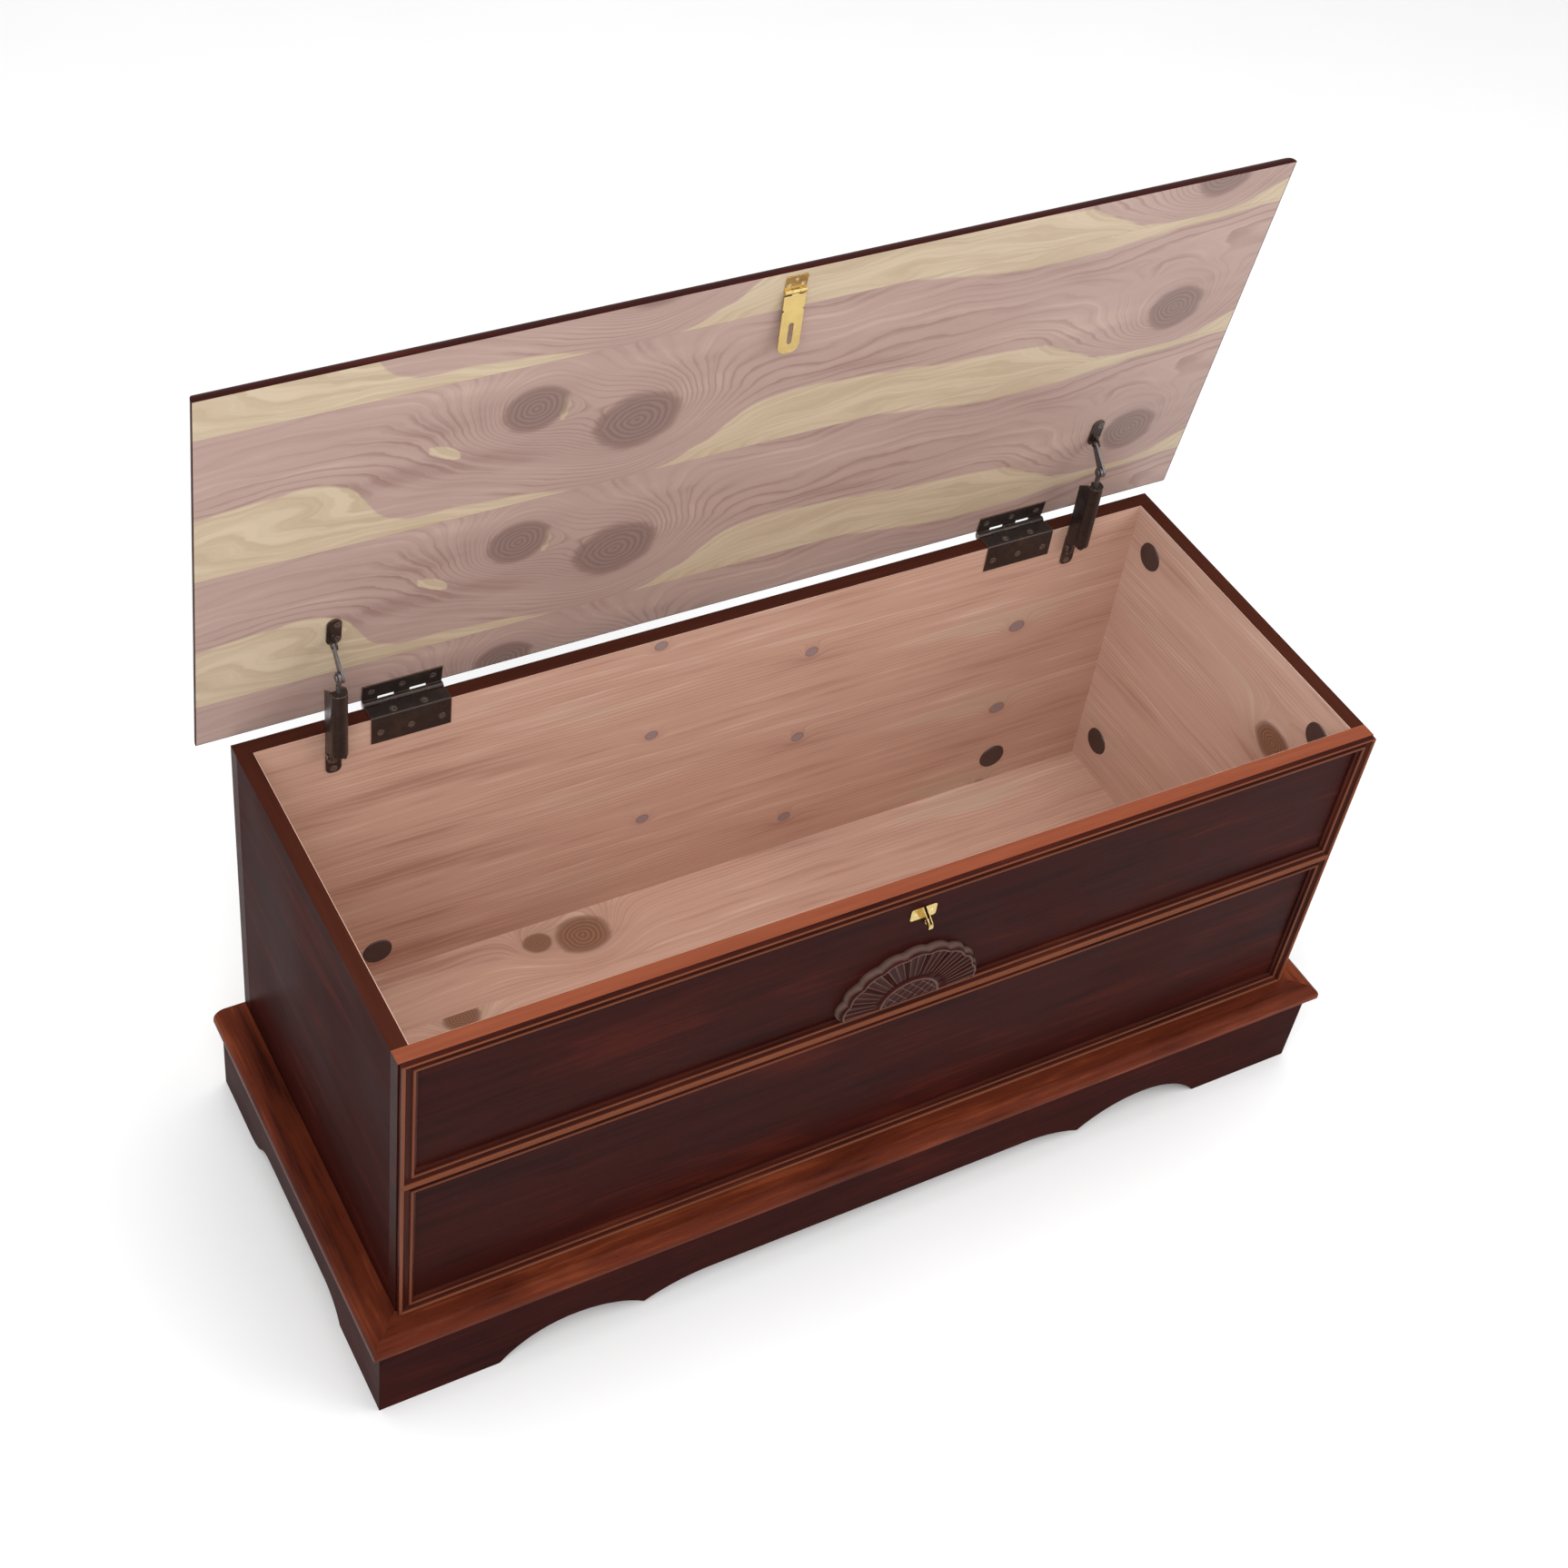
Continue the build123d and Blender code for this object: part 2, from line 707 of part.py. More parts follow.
def hinge_lid_leaf(edge):
    """Leaf on the cedar face of the lid, with knuckles one, three and five."""
    x = SIDES[edge] * hinge_x
    axle = lid_plane * Pos(x, corner_y, corner_z) * Rot(0, 90, 0)
    with BuildPart() as leaf:
        with Locations(lid_plane * Pos(x, (lid_leaf_v + corner_y) / 2, leaf_t / 2)):
            Box(hinge_len, lid_leaf_v - corner_y, leaf_t)
        for index in range(knuckles):
            if index % 2:
                slot = leaf_slot - corner_y
                with Locations(lid_plane * Pos(x + knuckle_x(index), corner_y + slot / 2, leaf_t / 2)):
                    Box(knuckle_len + 2 * knuckle_gap, slot, leaf_t, mode=Mode.SUBTRACT)
            else:
                with Locations(axle * Pos(0, 0, knuckle_x(index))):
                    Cylinder(knuckle_r, knuckle_len)
        with Locations(axle):
            Cylinder(pin_r, hinge_len, mode=Mode.SUBTRACT)
        add(lid_bores, mode=Mode.SUBTRACT)
    return save(leaf, f"{edge}_hinge_lid_leaf")


def hinge_pins():
    """One long pin through the five knuckles of each hinge."""
    with BuildPart() as pins:
        for side in SIDES.values():
            with Locations(Plane(origin=(side * hinge_x, hinge_y, hinge_z), z_dir=(1, 0, 0))):
                Cylinder(pin_r, hinge_len)
    return save(pins, "hinge_pins")


for edge in SIDES:
    hinge_rim_leaf(edge)
    hinge_lid_leaf(edge)
hinge_pins()


# ==================================================================== lid supports
# A folding spring strut on each side: a channel turns on a bracket under the rim, a rod with
# an eye slides in the channel against a spring, and a short link joins the eye to the lid.
ear_gap = 0.3
ear_x = channel_r - channel_t - ear_gap - support_sheet / 2
pivot_gap = 0.08
pivot_head_t = 1.2
pivot_head_lip = 1.4
cheek_r = 7.0
bracket_w = 17.0
bracket_h = 47.0
bracket_mid_z = 499.5
spring_low_z = 529.0
spring_high_z = 596.0
wire_r = 0.7
coil_r = 5.2
spring_turns = 11
seat_reach_y = 197.0
cap_reach_y = 190.5
side_slope = 9.0
rod_room = 9.0
rod_gap = 0.3
collar_h = 2.0
collar_r = channel_r - channel_t - 0.5
eye_half_t = 1.4
eye_neck = 12.0
eye_flat = 21.0
link_x = 3.25
link_t = 2.5
link_wide = 12.5
link_narrow = 7.5
rivet_head_x = 2.65
rivet_head_t = 1.5
rivet_lip = 1.9
foot_ear_r = eye_r - 0.6
foot_ear_x = link_x + link_t / 2 + 0.5 + support_sheet / 2
foot_plate_v = 121.5
foot_plate_len = 37.0
foot_plate_w = 16.0
foot_plate_x = 7.0
foot_head_t = 1.0
foot_head_lip = 1.2


def across(x, y, z):
    """Plane at a point of the strut with its local Z along the pivots."""
    return Plane(origin=(x, y, z), x_dir=(0, 1, 0), z_dir=(1, 0, 0))


def support_bracket(edge):
    """Plate under the rim with two ears that the channel's cheeks turn on."""
    x = support_x[edge]
    tongue_y = clear_back_y - support_sheet
    plate = Plane(origin=(x, clear_back_y, bracket_mid_z), x_dir=(1, 0, 0), z_dir=(0, -1, 0))
    with BuildPart() as bracket:
        with BuildSketch(plate):
            RectangleRounded(bracket_w, bracket_h, cheek_r)
        extrude(amount=support_sheet)
        for side in SIDES.values():
            with BuildSketch(across(x + side * ear_x, 0, 0)):
                with Locations((base_pivot_y, base_pivot_z)):
                    Circle(eye_r)
                with Locations(((base_pivot_y + tongue_y) / 2, base_pivot_z)):
                    Rectangle(tongue_y - base_pivot_y + support_sheet / 2, 2 * eye_r)
            extrude(amount=support_sheet / 2, both=True)
        with Locations(across(x, base_pivot_y, base_pivot_z)):
            Cylinder(rivet_r, 2 * channel_r, mode=Mode.SUBTRACT)
        add(carcase_bores, mode=Mode.SUBTRACT)
    return save(bracket, f"{edge}_support_bracket")


def support_pivot_rivets():
    """Rivets through the brackets' ears and the channels' cheeks, with a head at each end."""
    head_x = channel_r + pivot_head_t / 2 + ear_gap
    with BuildPart() as rivets:
        for x in support_x.values():
            with Locations(across(x, base_pivot_y, base_pivot_z)):
                Cylinder(rivet_r, 2 * head_x)
            for side in SIDES.values():
                with Locations(across(x + side * head_x, base_pivot_y, base_pivot_z)):
                    Cylinder(rivet_r + pivot_head_lip, pivot_head_t)
    return save(rivets, "support_pivot_rivets")


def cheek_outline(x):
    """Side of the channel below its body, tapering to the round end that the rivet holds."""
    low_z = channel_bottom_z + 6.0
    with BuildSketch(across(x, 0, 0)) as cheek:
        with BuildLine():
            Polyline(
                (base_pivot_y + cheek_r, base_pivot_z),
                (channel_back_y, low_z),
                (rod_y + 1.0, low_z),
                (base_pivot_y - cheek_r, base_pivot_z),
            )
            ThreePointArc(
                (base_pivot_y - cheek_r, base_pivot_z),
                (base_pivot_y, base_pivot_z - cheek_r),
                (base_pivot_y + cheek_r, base_pivot_z),
            )
        make_face()
    return cheek.sketch


def support_housing(edge):
    """Pressed channel, round at the front and open at the back, with a cap for the rod.

    Its sides slope down to the back from the cap."""
    x = support_x[edge]
    bore = channel_r - channel_t
    below = channel_bottom_z - 20.0
    behind = channel_back_y + 5.0
    with BuildPart() as housing:
        with BuildSketch(Plane.XY.offset(channel_bottom_z)):
            with Locations((x, rod_y)):
                Circle(channel_r)
            with Locations((x, (rod_y + channel_back_y) / 2)):
                Rectangle(2 * channel_r, channel_back_y - rod_y)
        extrude(amount=channel_top_z - channel_bottom_z)
        for side in SIDES.values():
            extrude(cheek_outline(x + side * (channel_r - channel_t / 2)), amount=channel_t / 2, both=True)
        with BuildSketch(Plane.XY.offset(below)):
            with Locations((x, rod_y)):
                Circle(bore)
            with Locations((x, (rod_y + behind) / 2)):
                Rectangle(2 * bore, behind - rod_y)
        extrude(amount=channel_top_z - below, mode=Mode.SUBTRACT)
        for low_z, reach_y in (
            (channel_top_z - channel_t, cap_reach_y),
            (spring_low_z - channel_t, seat_reach_y),
        ):
            with BuildSketch(Plane.XY.offset(low_z)):
                with Locations((x, rod_y)):
                    Circle(channel_r)
                with Locations((x, (rod_y + reach_y) / 2)):
                    Rectangle(2 * channel_r, reach_y - rod_y)
                with Locations((x, (reach_y + channel_back_y) / 2)):
                    Rectangle(2 * channel_r, channel_back_y - reach_y, mode=Mode.SUBTRACT)
            extrude(amount=channel_t)
        with BuildSketch(across(x, 0, 0)):
            with BuildLine():
                Polyline(
                    (cap_reach_y + channel_t, channel_top_z),
                    (channel_back_y, channel_top_z),
                    (channel_back_y, channel_top_z - side_slope),
                    close=True,
                )
            make_face()
        extrude(amount=channel_r, both=True, mode=Mode.SUBTRACT)
        with Locations((x, rod_y, channel_top_z)):
            Cylinder(rod_r + rod_gap, 4 * channel_t, mode=Mode.SUBTRACT)
        with Locations(across(x, base_pivot_y, base_pivot_z)):
            Cylinder(rivet_r + pivot_gap, 3 * channel_r, mode=Mode.SUBTRACT)
    return save(housing, f"{edge}_support_housing")


def support_spring(edge):
    """Compression spring between the channel's lower seat and the collar of the rod."""
    base = Plane(origin=(support_x[edge], rod_y, spring_low_z + wire_r))
    travel = spring_high_z - spring_low_z - 2 * wire_r
    with BuildPart() as spring:
        with BuildLine(base):
            coil = Helix(pitch=travel / spring_turns, height=travel, radius=coil_r)
        with BuildSketch(Plane(origin=coil @ 0, z_dir=coil % 0)):
            Circle(wire_r)
        sweep(path=coil, is_frenet=True)
    return save(spring, f"{edge}_support_spring")


def support_rod(edge):
    """Round rod with a collar for the spring and a flattened eye above the channel."""
    x = support_x[edge]
    low_z = spring_low_z + rod_room
    with BuildPart() as rod:
        with Locations((x, rod_y, (low_z + eye_z) / 2)):
            Cylinder(rod_r, eye_z - low_z)
        with Locations((x, rod_y, spring_high_z + collar_h / 2)):
            Cylinder(collar_r, collar_h)
        with BuildSketch(across(x, 0, 0)):
            with Locations((rod_y, eye_z)):
                Circle(eye_r)
            with Locations((rod_y, eye_z - eye_neck / 2)):
                Rectangle(2 * rod_r, eye_neck)
        extrude(amount=eye_half_t, both=True)
        for side in SIDES.values():
            with Locations((x + side * (eye_half_t + rod_r), rod_y, eye_z)):
                Box(2 * rod_r, 2 * eye_r, eye_flat, mode=Mode.SUBTRACT)
        with Locations(across(x, rod_y, eye_z)):
            Cylinder(eye_hole_r, 2 * channel_r, mode=Mode.SUBTRACT)
    return save(rod, f"{edge}_support_rod")


def support_link(edge):
    """Tapered link: wide where it is riveted to the rod's eye, narrow at the lid's foot."""
    x = support_x[edge]
    foot_y, foot_z = foot_pivot.Y, foot_pivot.Z
    inner_face = link_x - link_t / 2
    rivet_len = inner_face + rivet_head_x + rivet_head_t / 2
    with BuildPart() as link:
        with BuildSketch(across(x + link_x, 0, 0)) as outline:
            with Locations((rod_y, eye_z)):
                Circle(link_wide / 2)
            with Locations((foot_y, foot_z)):
                Circle(link_narrow / 2)
            make_hull(outline.edges())
        extrude(amount=link_t / 2, both=True)
        with Locations(across(x + inner_face - rivet_len / 2, rod_y, eye_z)):
            Cylinder(link_rivet_r, rivet_len)
        with Locations(across(x - rivet_head_x, rod_y, eye_z)):
            Cylinder(link_rivet_r + rivet_lip, rivet_head_t)
        with Locations(across(x + link_x, foot_y, foot_z)):
            Cylinder(rivet_r + pivot_gap, 2 * link_t, mode=Mode.SUBTRACT)
    return save(link, f"{edge}_support_link")


def support_foot(edge):
    """Lid plate of the support, with one ear and the rivet that the link turns on."""
    x = support_x[edge]
    side_view = lid_plane * Pos(x + foot_ear_x, 0, 0) * Rot(0, 90, 0)
    ear_outer = foot_ear_x + support_sheet / 2
    head_outer = link_x - link_t / 2 - foot_head_t - ear_gap
    with BuildPart() as foot:
        with BuildSketch(lid_plane):
            with Locations((x + foot_plate_x, foot_plate_v)):
                SlotOverall(foot_plate_len, foot_plate_w, rotation=90)
        extrude(amount=support_sheet)
        with BuildSketch(Plane(side_view)):
            with Locations((-foot_w, foot_v)):
                Circle(foot_ear_r)
            with Locations((-foot_w / 2, foot_v)):
                Rectangle(foot_w, 2 * foot_ear_r)
        extrude(amount=support_sheet / 2, both=True)
        with Locations(across(x + (ear_outer + head_outer) / 2, foot_pivot.Y, foot_pivot.Z)):
            Cylinder(rivet_r, ear_outer - head_outer)
        with Locations(across(x + head_outer + foot_head_t / 2, foot_pivot.Y, foot_pivot.Z)):
            Cylinder(rivet_r + foot_head_lip, foot_head_t)
        add(lid_bores, mode=Mode.SUBTRACT)
    return save(foot, f"{edge}_support_foot")


support_pivot_rivets()
for edge in SIDES:
    support_bracket(edge)
    support_housing(edge)
    support_spring(edge)
    support_rod(edge)
    support_link(edge)
    support_foot(edge)


# ==================================================================== hasp and staple
barrel = lid_plane * Pos(0, hasp_v, hasp_out) * Rot(0, 90, 0)
barrel_spot = lid_plane.from_local_coords((0, hasp_v, hasp_out))


def hasp_leaf():
    """Small leaf near the front edge of the lid, with the two outer knuckles."""
    with BuildPart() as leaf:
        with Locations(lid_plane * Pos(0, hasp_v + hasp_leaf_len / 2, hasp_t / 2)):
            Box(2 * hasp_half_w, hasp_leaf_len, hasp_t)
        with Locations(barrel):
            Cylinder(hasp_barrel_r, 2 * hasp_half_w)
            Cylinder(hasp_barrel_r + hasp_gap, 2 * hasp_knuckle + hasp_gap, mode=Mode.SUBTRACT)
            Cylinder(hasp_pin_r, 2 * hasp_half_w, mode=Mode.SUBTRACT)
        add(hasp_bores, mode=Mode.SUBTRACT)
    return save(leaf, "hasp_leaf")


def hasp_pin():
    """Pin of the hasp, as long as its barrel."""
    with BuildPart() as pin:
        with Locations(barrel):
            Cylinder(hasp_pin_r, 2 * hasp_half_w)
    return save(pin, "hasp_pin")


def hasp_strap():
    """Slotted strap that hangs plumb from the barrel, notched at both sides above the slot."""
    hanging = Plane(origin=(0, barrel_spot.Y, barrel_spot.Z), x_dir=(1, 0, 0), z_dir=(0, -1, 0))
    neck = 4.0
    with BuildPart() as strap:
        with BuildSketch(hanging) as outline:
            with Locations((0, -(neck + strap_len) / 2)):
                Rectangle(2 * hasp_half_w, strap_len - neck)
            fillet(outline.vertices().group_by(Axis.Y)[0], radius=hasp_half_w - 2.0)
            with Locations((0, -neck / 2)):
                Rectangle(2 * hasp_knuckle, neck)
            with Locations((0, -(slot_top + slot_end) / 2)):
                SlotOverall(slot_end - slot_top, slot_w, rotation=90, mode=Mode.SUBTRACT)
            with Locations((-hasp_half_w, -notch_v), (hasp_half_w, -notch_v)):
                Circle(notch_r, mode=Mode.SUBTRACT)
        extrude(amount=strap_t / 2, both=True)
        with Locations(barrel):
            Cylinder(hasp_barrel_r, 2 * hasp_knuckle)
            Cylinder(hasp_pin_r + run_gap, 2 * hasp_knuckle, mode=Mode.SUBTRACT)
    return save(strap, "hasp_strap")


def staple():
    """Brass plate with a hollow folded loop and a hole through it for a padlock."""
    hollow = loop_reach - 1.0
    with BuildPart() as plate:
        with BuildSketch(Plane(origin=(0, front_y, staple_z), x_dir=(1, 0, 0), z_dir=(0, -1, 0))):
            RectangleRounded(staple_plate_w, staple_plate_h, 3.0)
        extrude(amount=staple_plate_t)
        with BuildSketch(Plane.YZ):
            with BuildLine():
                Polyline(
                    (front_y, loop_low_z),
                    (front_y, loop_low_z + staple_plate_h),
                    (front_y - loop_reach + 2.0, loop_low_z + 7.0),
                    (front_y - loop_reach, loop_low_z + 4.0),
                    (front_y - loop_reach, loop_low_z),
                    close=True,
                )
            make_face()
        extrude(amount=loop_half, both=True)
        with Locations((0, front_y - hollow / 2, staple_z)):
            Box(2 * loop_half - 2.0, hollow, staple_plate_h + 1.0, mode=Mode.SUBTRACT)
        with Locations(across(0, front_y - padlock_hole_out, loop_low_z + padlock_hole_rise)):
            Cylinder(padlock_hole_r, 4 * loop_half, mode=Mode.SUBTRACT)
        add(staple_bores, mode=Mode.SUBTRACT)
    return save(plate, "staple")


hasp_leaf()
hasp_pin()
hasp_strap()
staple()
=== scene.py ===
import json
import math

import bmesh
import bpy
from mathutils import Euler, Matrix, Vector


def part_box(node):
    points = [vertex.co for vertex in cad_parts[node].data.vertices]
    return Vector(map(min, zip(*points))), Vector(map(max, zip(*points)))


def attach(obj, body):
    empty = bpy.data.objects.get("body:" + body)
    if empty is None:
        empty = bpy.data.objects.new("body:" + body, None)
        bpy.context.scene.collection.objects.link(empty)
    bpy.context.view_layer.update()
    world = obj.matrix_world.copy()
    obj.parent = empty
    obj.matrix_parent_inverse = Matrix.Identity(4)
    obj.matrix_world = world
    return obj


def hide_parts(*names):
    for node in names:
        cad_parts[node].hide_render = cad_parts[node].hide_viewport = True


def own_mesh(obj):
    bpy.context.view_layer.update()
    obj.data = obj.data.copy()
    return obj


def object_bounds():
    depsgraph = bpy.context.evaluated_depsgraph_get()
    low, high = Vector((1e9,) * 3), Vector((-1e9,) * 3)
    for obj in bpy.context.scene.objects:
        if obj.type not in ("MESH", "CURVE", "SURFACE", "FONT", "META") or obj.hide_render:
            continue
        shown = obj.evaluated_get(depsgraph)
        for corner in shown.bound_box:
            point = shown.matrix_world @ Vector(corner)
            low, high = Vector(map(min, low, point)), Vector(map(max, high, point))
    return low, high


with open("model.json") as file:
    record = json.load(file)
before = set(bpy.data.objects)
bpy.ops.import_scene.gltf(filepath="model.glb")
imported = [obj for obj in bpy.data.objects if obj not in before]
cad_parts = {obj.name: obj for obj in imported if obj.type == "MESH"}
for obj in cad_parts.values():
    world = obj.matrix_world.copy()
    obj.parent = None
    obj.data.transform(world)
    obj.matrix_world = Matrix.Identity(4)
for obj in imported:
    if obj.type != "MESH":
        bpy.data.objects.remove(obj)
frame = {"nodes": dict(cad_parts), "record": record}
cad_low, cad_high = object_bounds()
cad_nodes = frame["nodes"]
joints = {joint["name"]: joint for joint in frame["record"]["behaviour"]["joints"]}

# Lengths are in metres and angles in degrees, in the frame of the CAD model.
SIDES = ("left", "right")
X = (1, 0, 0)
Y = (0, 1, 0)
Z = (0, 0, 1)
FORWARD = (0, -1, 0)

CAMERA_LENS = 56.75
CAMERA_SENSOR = 36.0
CAMERA_SHIFT = (0.0395, -0.0232)
CAMERA_PLACE = (-1.0986, -1.4801, 2.3191)
CAMERA_TURN = (45.184, -5.689, -27.689)

BEVEL_SAMPLES = 6
# radii of the rounded arrises
WOOD_ARRIS = 0.0007
BOARD_ARRIS = 0.0006
METAL_ARRIS = 0.0004
PLATE_ARRIS = 0.0006
# points nearer than this are one
WELD_GAP = 0.00001


def srgb(red, green, blue):
    """Linear colour from 0 to 255 display values."""
    def linear(value):
        value /= 255
        return value / 12.92 if value <= 0.04045 else ((value + 0.055) / 1.055) ** 2.4
    return (linear(red), linear(green), linear(blue), 1.0)


# ============================================================== shader building
class Shader:
    """One material and short calls that add nodes to it."""

    def __init__(self, name):
        self.material = bpy.data.materials.new(name)
        self.material.use_nodes = True
        self.tree = self.material.node_tree
        self.tree.nodes.clear()
        output = self.tree.nodes.new("ShaderNodeOutputMaterial")
        self.surface = self.tree.nodes.new("ShaderNodeBsdfPrincipled")
        self.tree.links.new(self.surface.outputs[0], output.inputs[0])
        self.point = self.tree.nodes.new("ShaderNodeTexCoord").outputs["Object"]
        self.geometry = self.tree.nodes.new("ShaderNodeNewGeometry")

    def feed(self, socket, value):
        """Joins a socket to an output, or gives it a fixed value."""
        if isinstance(value, bpy.types.NodeSocket):
            self.tree.links.new(value, socket)
        elif value is not None:
            socket.default_value = value

    def math(self, operation, *values, clamp=False):
        """Result of a sum on numbers or sockets."""
        node = self.tree.nodes.new("ShaderNodeMath")
        node.operation = operation
        node.use_clamp = clamp
        for socket, value in zip(node.inputs, values):
            self.feed(socket, value)
        return node.outputs[0]

    def vector(self, operation, *values):
        node = self.tree.nodes.new("ShaderNodeVectorMath")
        node.operation = operation
        for socket, value in zip(node.inputs, values):
            self.feed(socket, value)
        return node.outputs["Value" if operation == "DOT_PRODUCT" else "Vector"]

    def combine(self, x, y, z):
        node = self.tree.nodes.new("ShaderNodeCombineXYZ")
        for socket, value in zip(node.inputs, (x, y, z)):
            self.feed(socket, value)
        return node.outputs[0]

    def noise(self, vector, scale=1.0, detail=3.0, rough=0.5, distort=0.0):
        node = self.tree.nodes.new("ShaderNodeTexNoise")
        self.feed(node.inputs["Vector"], vector)
        node.inputs["Scale"].default_value = scale
        node.inputs["Detail"].default_value = detail
        node.inputs["Roughness"].default_value = rough
        node.inputs["Distortion"].default_value = distort
        return node.outputs["Fac"]

    def step(self, value, low, high, to_low=0.0, to_high=1.0):
        """Smooth change of value from low to high."""
        node = self.tree.nodes.new("ShaderNodeMapRange")
        node.interpolation_type = "SMOOTHSTEP"
        for socket, number in zip(node.inputs, (value, low, high, to_low, to_high)):
            self.feed(socket, number)
        return node.outputs[0]

    def ramp(self, value, stops, ease="EASE"):
        """Colours, or plain levels, at given places along value."""
        node = self.tree.nodes.new("ShaderNodeValToRGB")
        node.color_ramp.interpolation = ease
        elements = node.color_ramp.elements
        while len(elements) < len(stops):
            elements.new(0.5)
        for element, (place, colour) in zip(elements, stops):
            element.position = place
            plain = isinstance(colour, float)
            element.color = (colour, colour, colour, 1.0) if plain else colour
        self.feed(node.inputs[0], value)
        return node.outputs[0]

    def mix(self, share, first, second):
        """Second colour laid over the first by a share of 0 to 1."""
        node = self.tree.nodes.new("ShaderNodeMix")
        node.data_type = "RGBA"
        factor, colour_a, colour_b = node.inputs[0], node.inputs[6], node.inputs[7]
        self.feed(factor, share)
        self.feed(colour_a, first)
        self.feed(colour_b, second)
        return node.outputs[2]

    def bump(self, height, strength, distance, normal=None):
        node = self.tree.nodes.new("ShaderNodeBump")
        self.feed(node.inputs["Normal"], normal)
        node.inputs["Strength"].default_value = strength
        node.inputs["Distance"].default_value = distance
        self.feed(node.inputs["Height"], height)
        return node.outputs[0]

    def set(self, **inputs):
        """Sets inputs of the surface, named with underscores for spaces."""
        for name, value in inputs.items():
            self.feed(self.surface.inputs[name.replace("_", " ")], value)
        return self.material

    def dot(self, axis):
        """Distance of the point from the origin along an axis."""
        return self.vector("DOT_PRODUCT", self.point, axis)

    def rounded(self, radius):
        """Surface normal with the arrises rounded off, and a mask of those arrises."""
        bevel = self.tree.nodes.new("ShaderNodeBevel")
        bevel.samples = BEVEL_SAMPLES
        bevel.inputs["Radius"].default_value = radius
        flat = self.geometry.outputs["True Normal"]
        facing = self.vector("DOT_PRODUCT", bevel.outputs[0], flat)
        return bevel.outputs[0], self.step(facing, 0.995, 0.90)

    def weighted(self, *terms):
        """Sum of values, each times its weight."""
        total = None
        for value, weight in terms:
            term = self.math("MULTIPLY", value, weight)
            total = term if total is None else self.math("ADD", total, term)
        return total

    def stretched(self, along, amount):
        """The point in space, squeezed along the grain so that noise runs in streaks."""
        factors = [1.0 / amount if axis else 1.0 for axis in along]
        return self.vector("MULTIPLY", self.point, factors)


# ============================================================== stained hardwood
def stained(name, along, tones, gloss=0.36, shine=0.03, highlight=None):
    """Stained wood under satin lacquer: pores, soft figure and blotches of stain.

    A highlight is a mask and two colours laid over the wood there: the lighter colour of the boards' top
    faces, and a painted highlight on the mouldings' crests and on the carving."""
    dark, middle, bright = tones
    s = Shader(name)
    streaks = s.noise(s.stretched(along, 22.0), scale=150.0, detail=5.0, rough=0.62, distort=0.3)
    figure = s.noise(s.stretched(along, 5.0), scale=20.0, detail=3.0, rough=0.55, distort=0.8)
    blotch = s.noise(s.point, scale=5.5, detail=3.0)
    pores = s.noise(s.stretched(along, 16.0), scale=900.0, detail=2.0)
    tone = s.weighted((streaks, 0.35), (figure, 0.4), (blotch, 0.25))
    colour = s.ramp(tone, [(0.36, dark), (0.5, middle), (0.64, bright)])
    pore_mask = s.step(pores, 0.62, 0.72)
    colour = s.mix(s.math("MULTIPLY", pore_mask, 0.45), colour, dark)
    smooth, arris = s.rounded(WOOD_ARRIS)
    # the arrises are lightened a little toward the bright tone: a painted highlight along the edges
    colour = s.mix(s.math("MULTIPLY", arris, 0.35), colour, bright)
    if highlight:
        mask, low, high = highlight
        colour = s.mix(mask(s), colour, s.mix(streaks, low, high))
    height = s.math("SUBTRACT", streaks, s.math("MULTIPLY", pore_mask, 0.6))
    roughness = s.step(blotch, 0.3, 0.7, gloss - 0.05, gloss + 0.07)
    normal = s.bump(height, strength=0.12, distance=0.0004, normal=smooth)
    s.set(Base_Color=colour, Roughness=roughness, Normal=normal)
    return s.set(Coat_Weight=0.01, Coat_Roughness=0.25, Specular_IOR_Level=shine)


def raised(axis, low, high):
    """Mask that grows from low to high places along an axis."""
    return lambda s: s.step(s.dot(axis), low, high)


# dark, middle and bright tones of each stain
FIELD = (srgb(36, 13, 11), srgb(48, 17, 14), srgb(66, 24, 17))
FRAME = (srgb(36, 14, 11), srgb(58, 23, 17), srgb(82, 38, 25))
NOSE = (srgb(52, 20, 14), srgb(88, 38, 23), srgb(128, 62, 36))
# colours of the painted highlight on the mouldings' crests
CREST_HIGHLIGHT = srgb(92, 49, 33)
CREST_HIGHLIGHT_BRIGHT = srgb(130, 76, 52)
RIM = srgb(112, 56, 38)
RIM_LIGHT = srgb(144, 80, 56)
SIDE_RIM = srgb(54, 25, 18)
SIDE_RIM_LIGHT = srgb(76, 38, 27)
RAW = (srgb(150, 112, 74), srgb(186, 148, 104), srgb(206, 172, 128))

# the crests of the mouldings stand 5 to 7 mm proud of the front panel; a painted highlight is laid on
# them
CREST_LOW = 0.0050
CREST_HIGH = 0.0070
# the top faces of the boards, with a soft change of colour over the arris
RIM_LOW = 0.0008
RIM_HIGH = 0.0001

front_low, front_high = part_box("front_panel")
panel_front = front_low.y
rim_z = front_high.z
crest = raised(FORWARD, CREST_LOW - panel_front, CREST_HIGH - panel_front)
rim_top = raised(Z, rim_z - RIM_LOW, rim_z - RIM_HIGH)
front_rim = (rim_top, RIM, RIM_LIGHT)
side_rim = (rim_top, SIDE_RIM, SIDE_RIM_LIGHT)
crest_highlight = (crest, CREST_HIGHLIGHT, CREST_HIGHLIGHT_BRIGHT)
field_x = stained("mahogany_field", X, FIELD)
skirt_x = stained("mahogany_skirt_front", X, FIELD, shine=0.008)
skirt_y = stained("mahogany_skirt_side", Y, FIELD, shine=0.008)
field_x_rim = stained("mahogany_front", X, FIELD, shine=0.02, highlight=front_rim)
field_y = stained("mahogany_side", Y, FIELD, shine=0.004, highlight=side_rim)
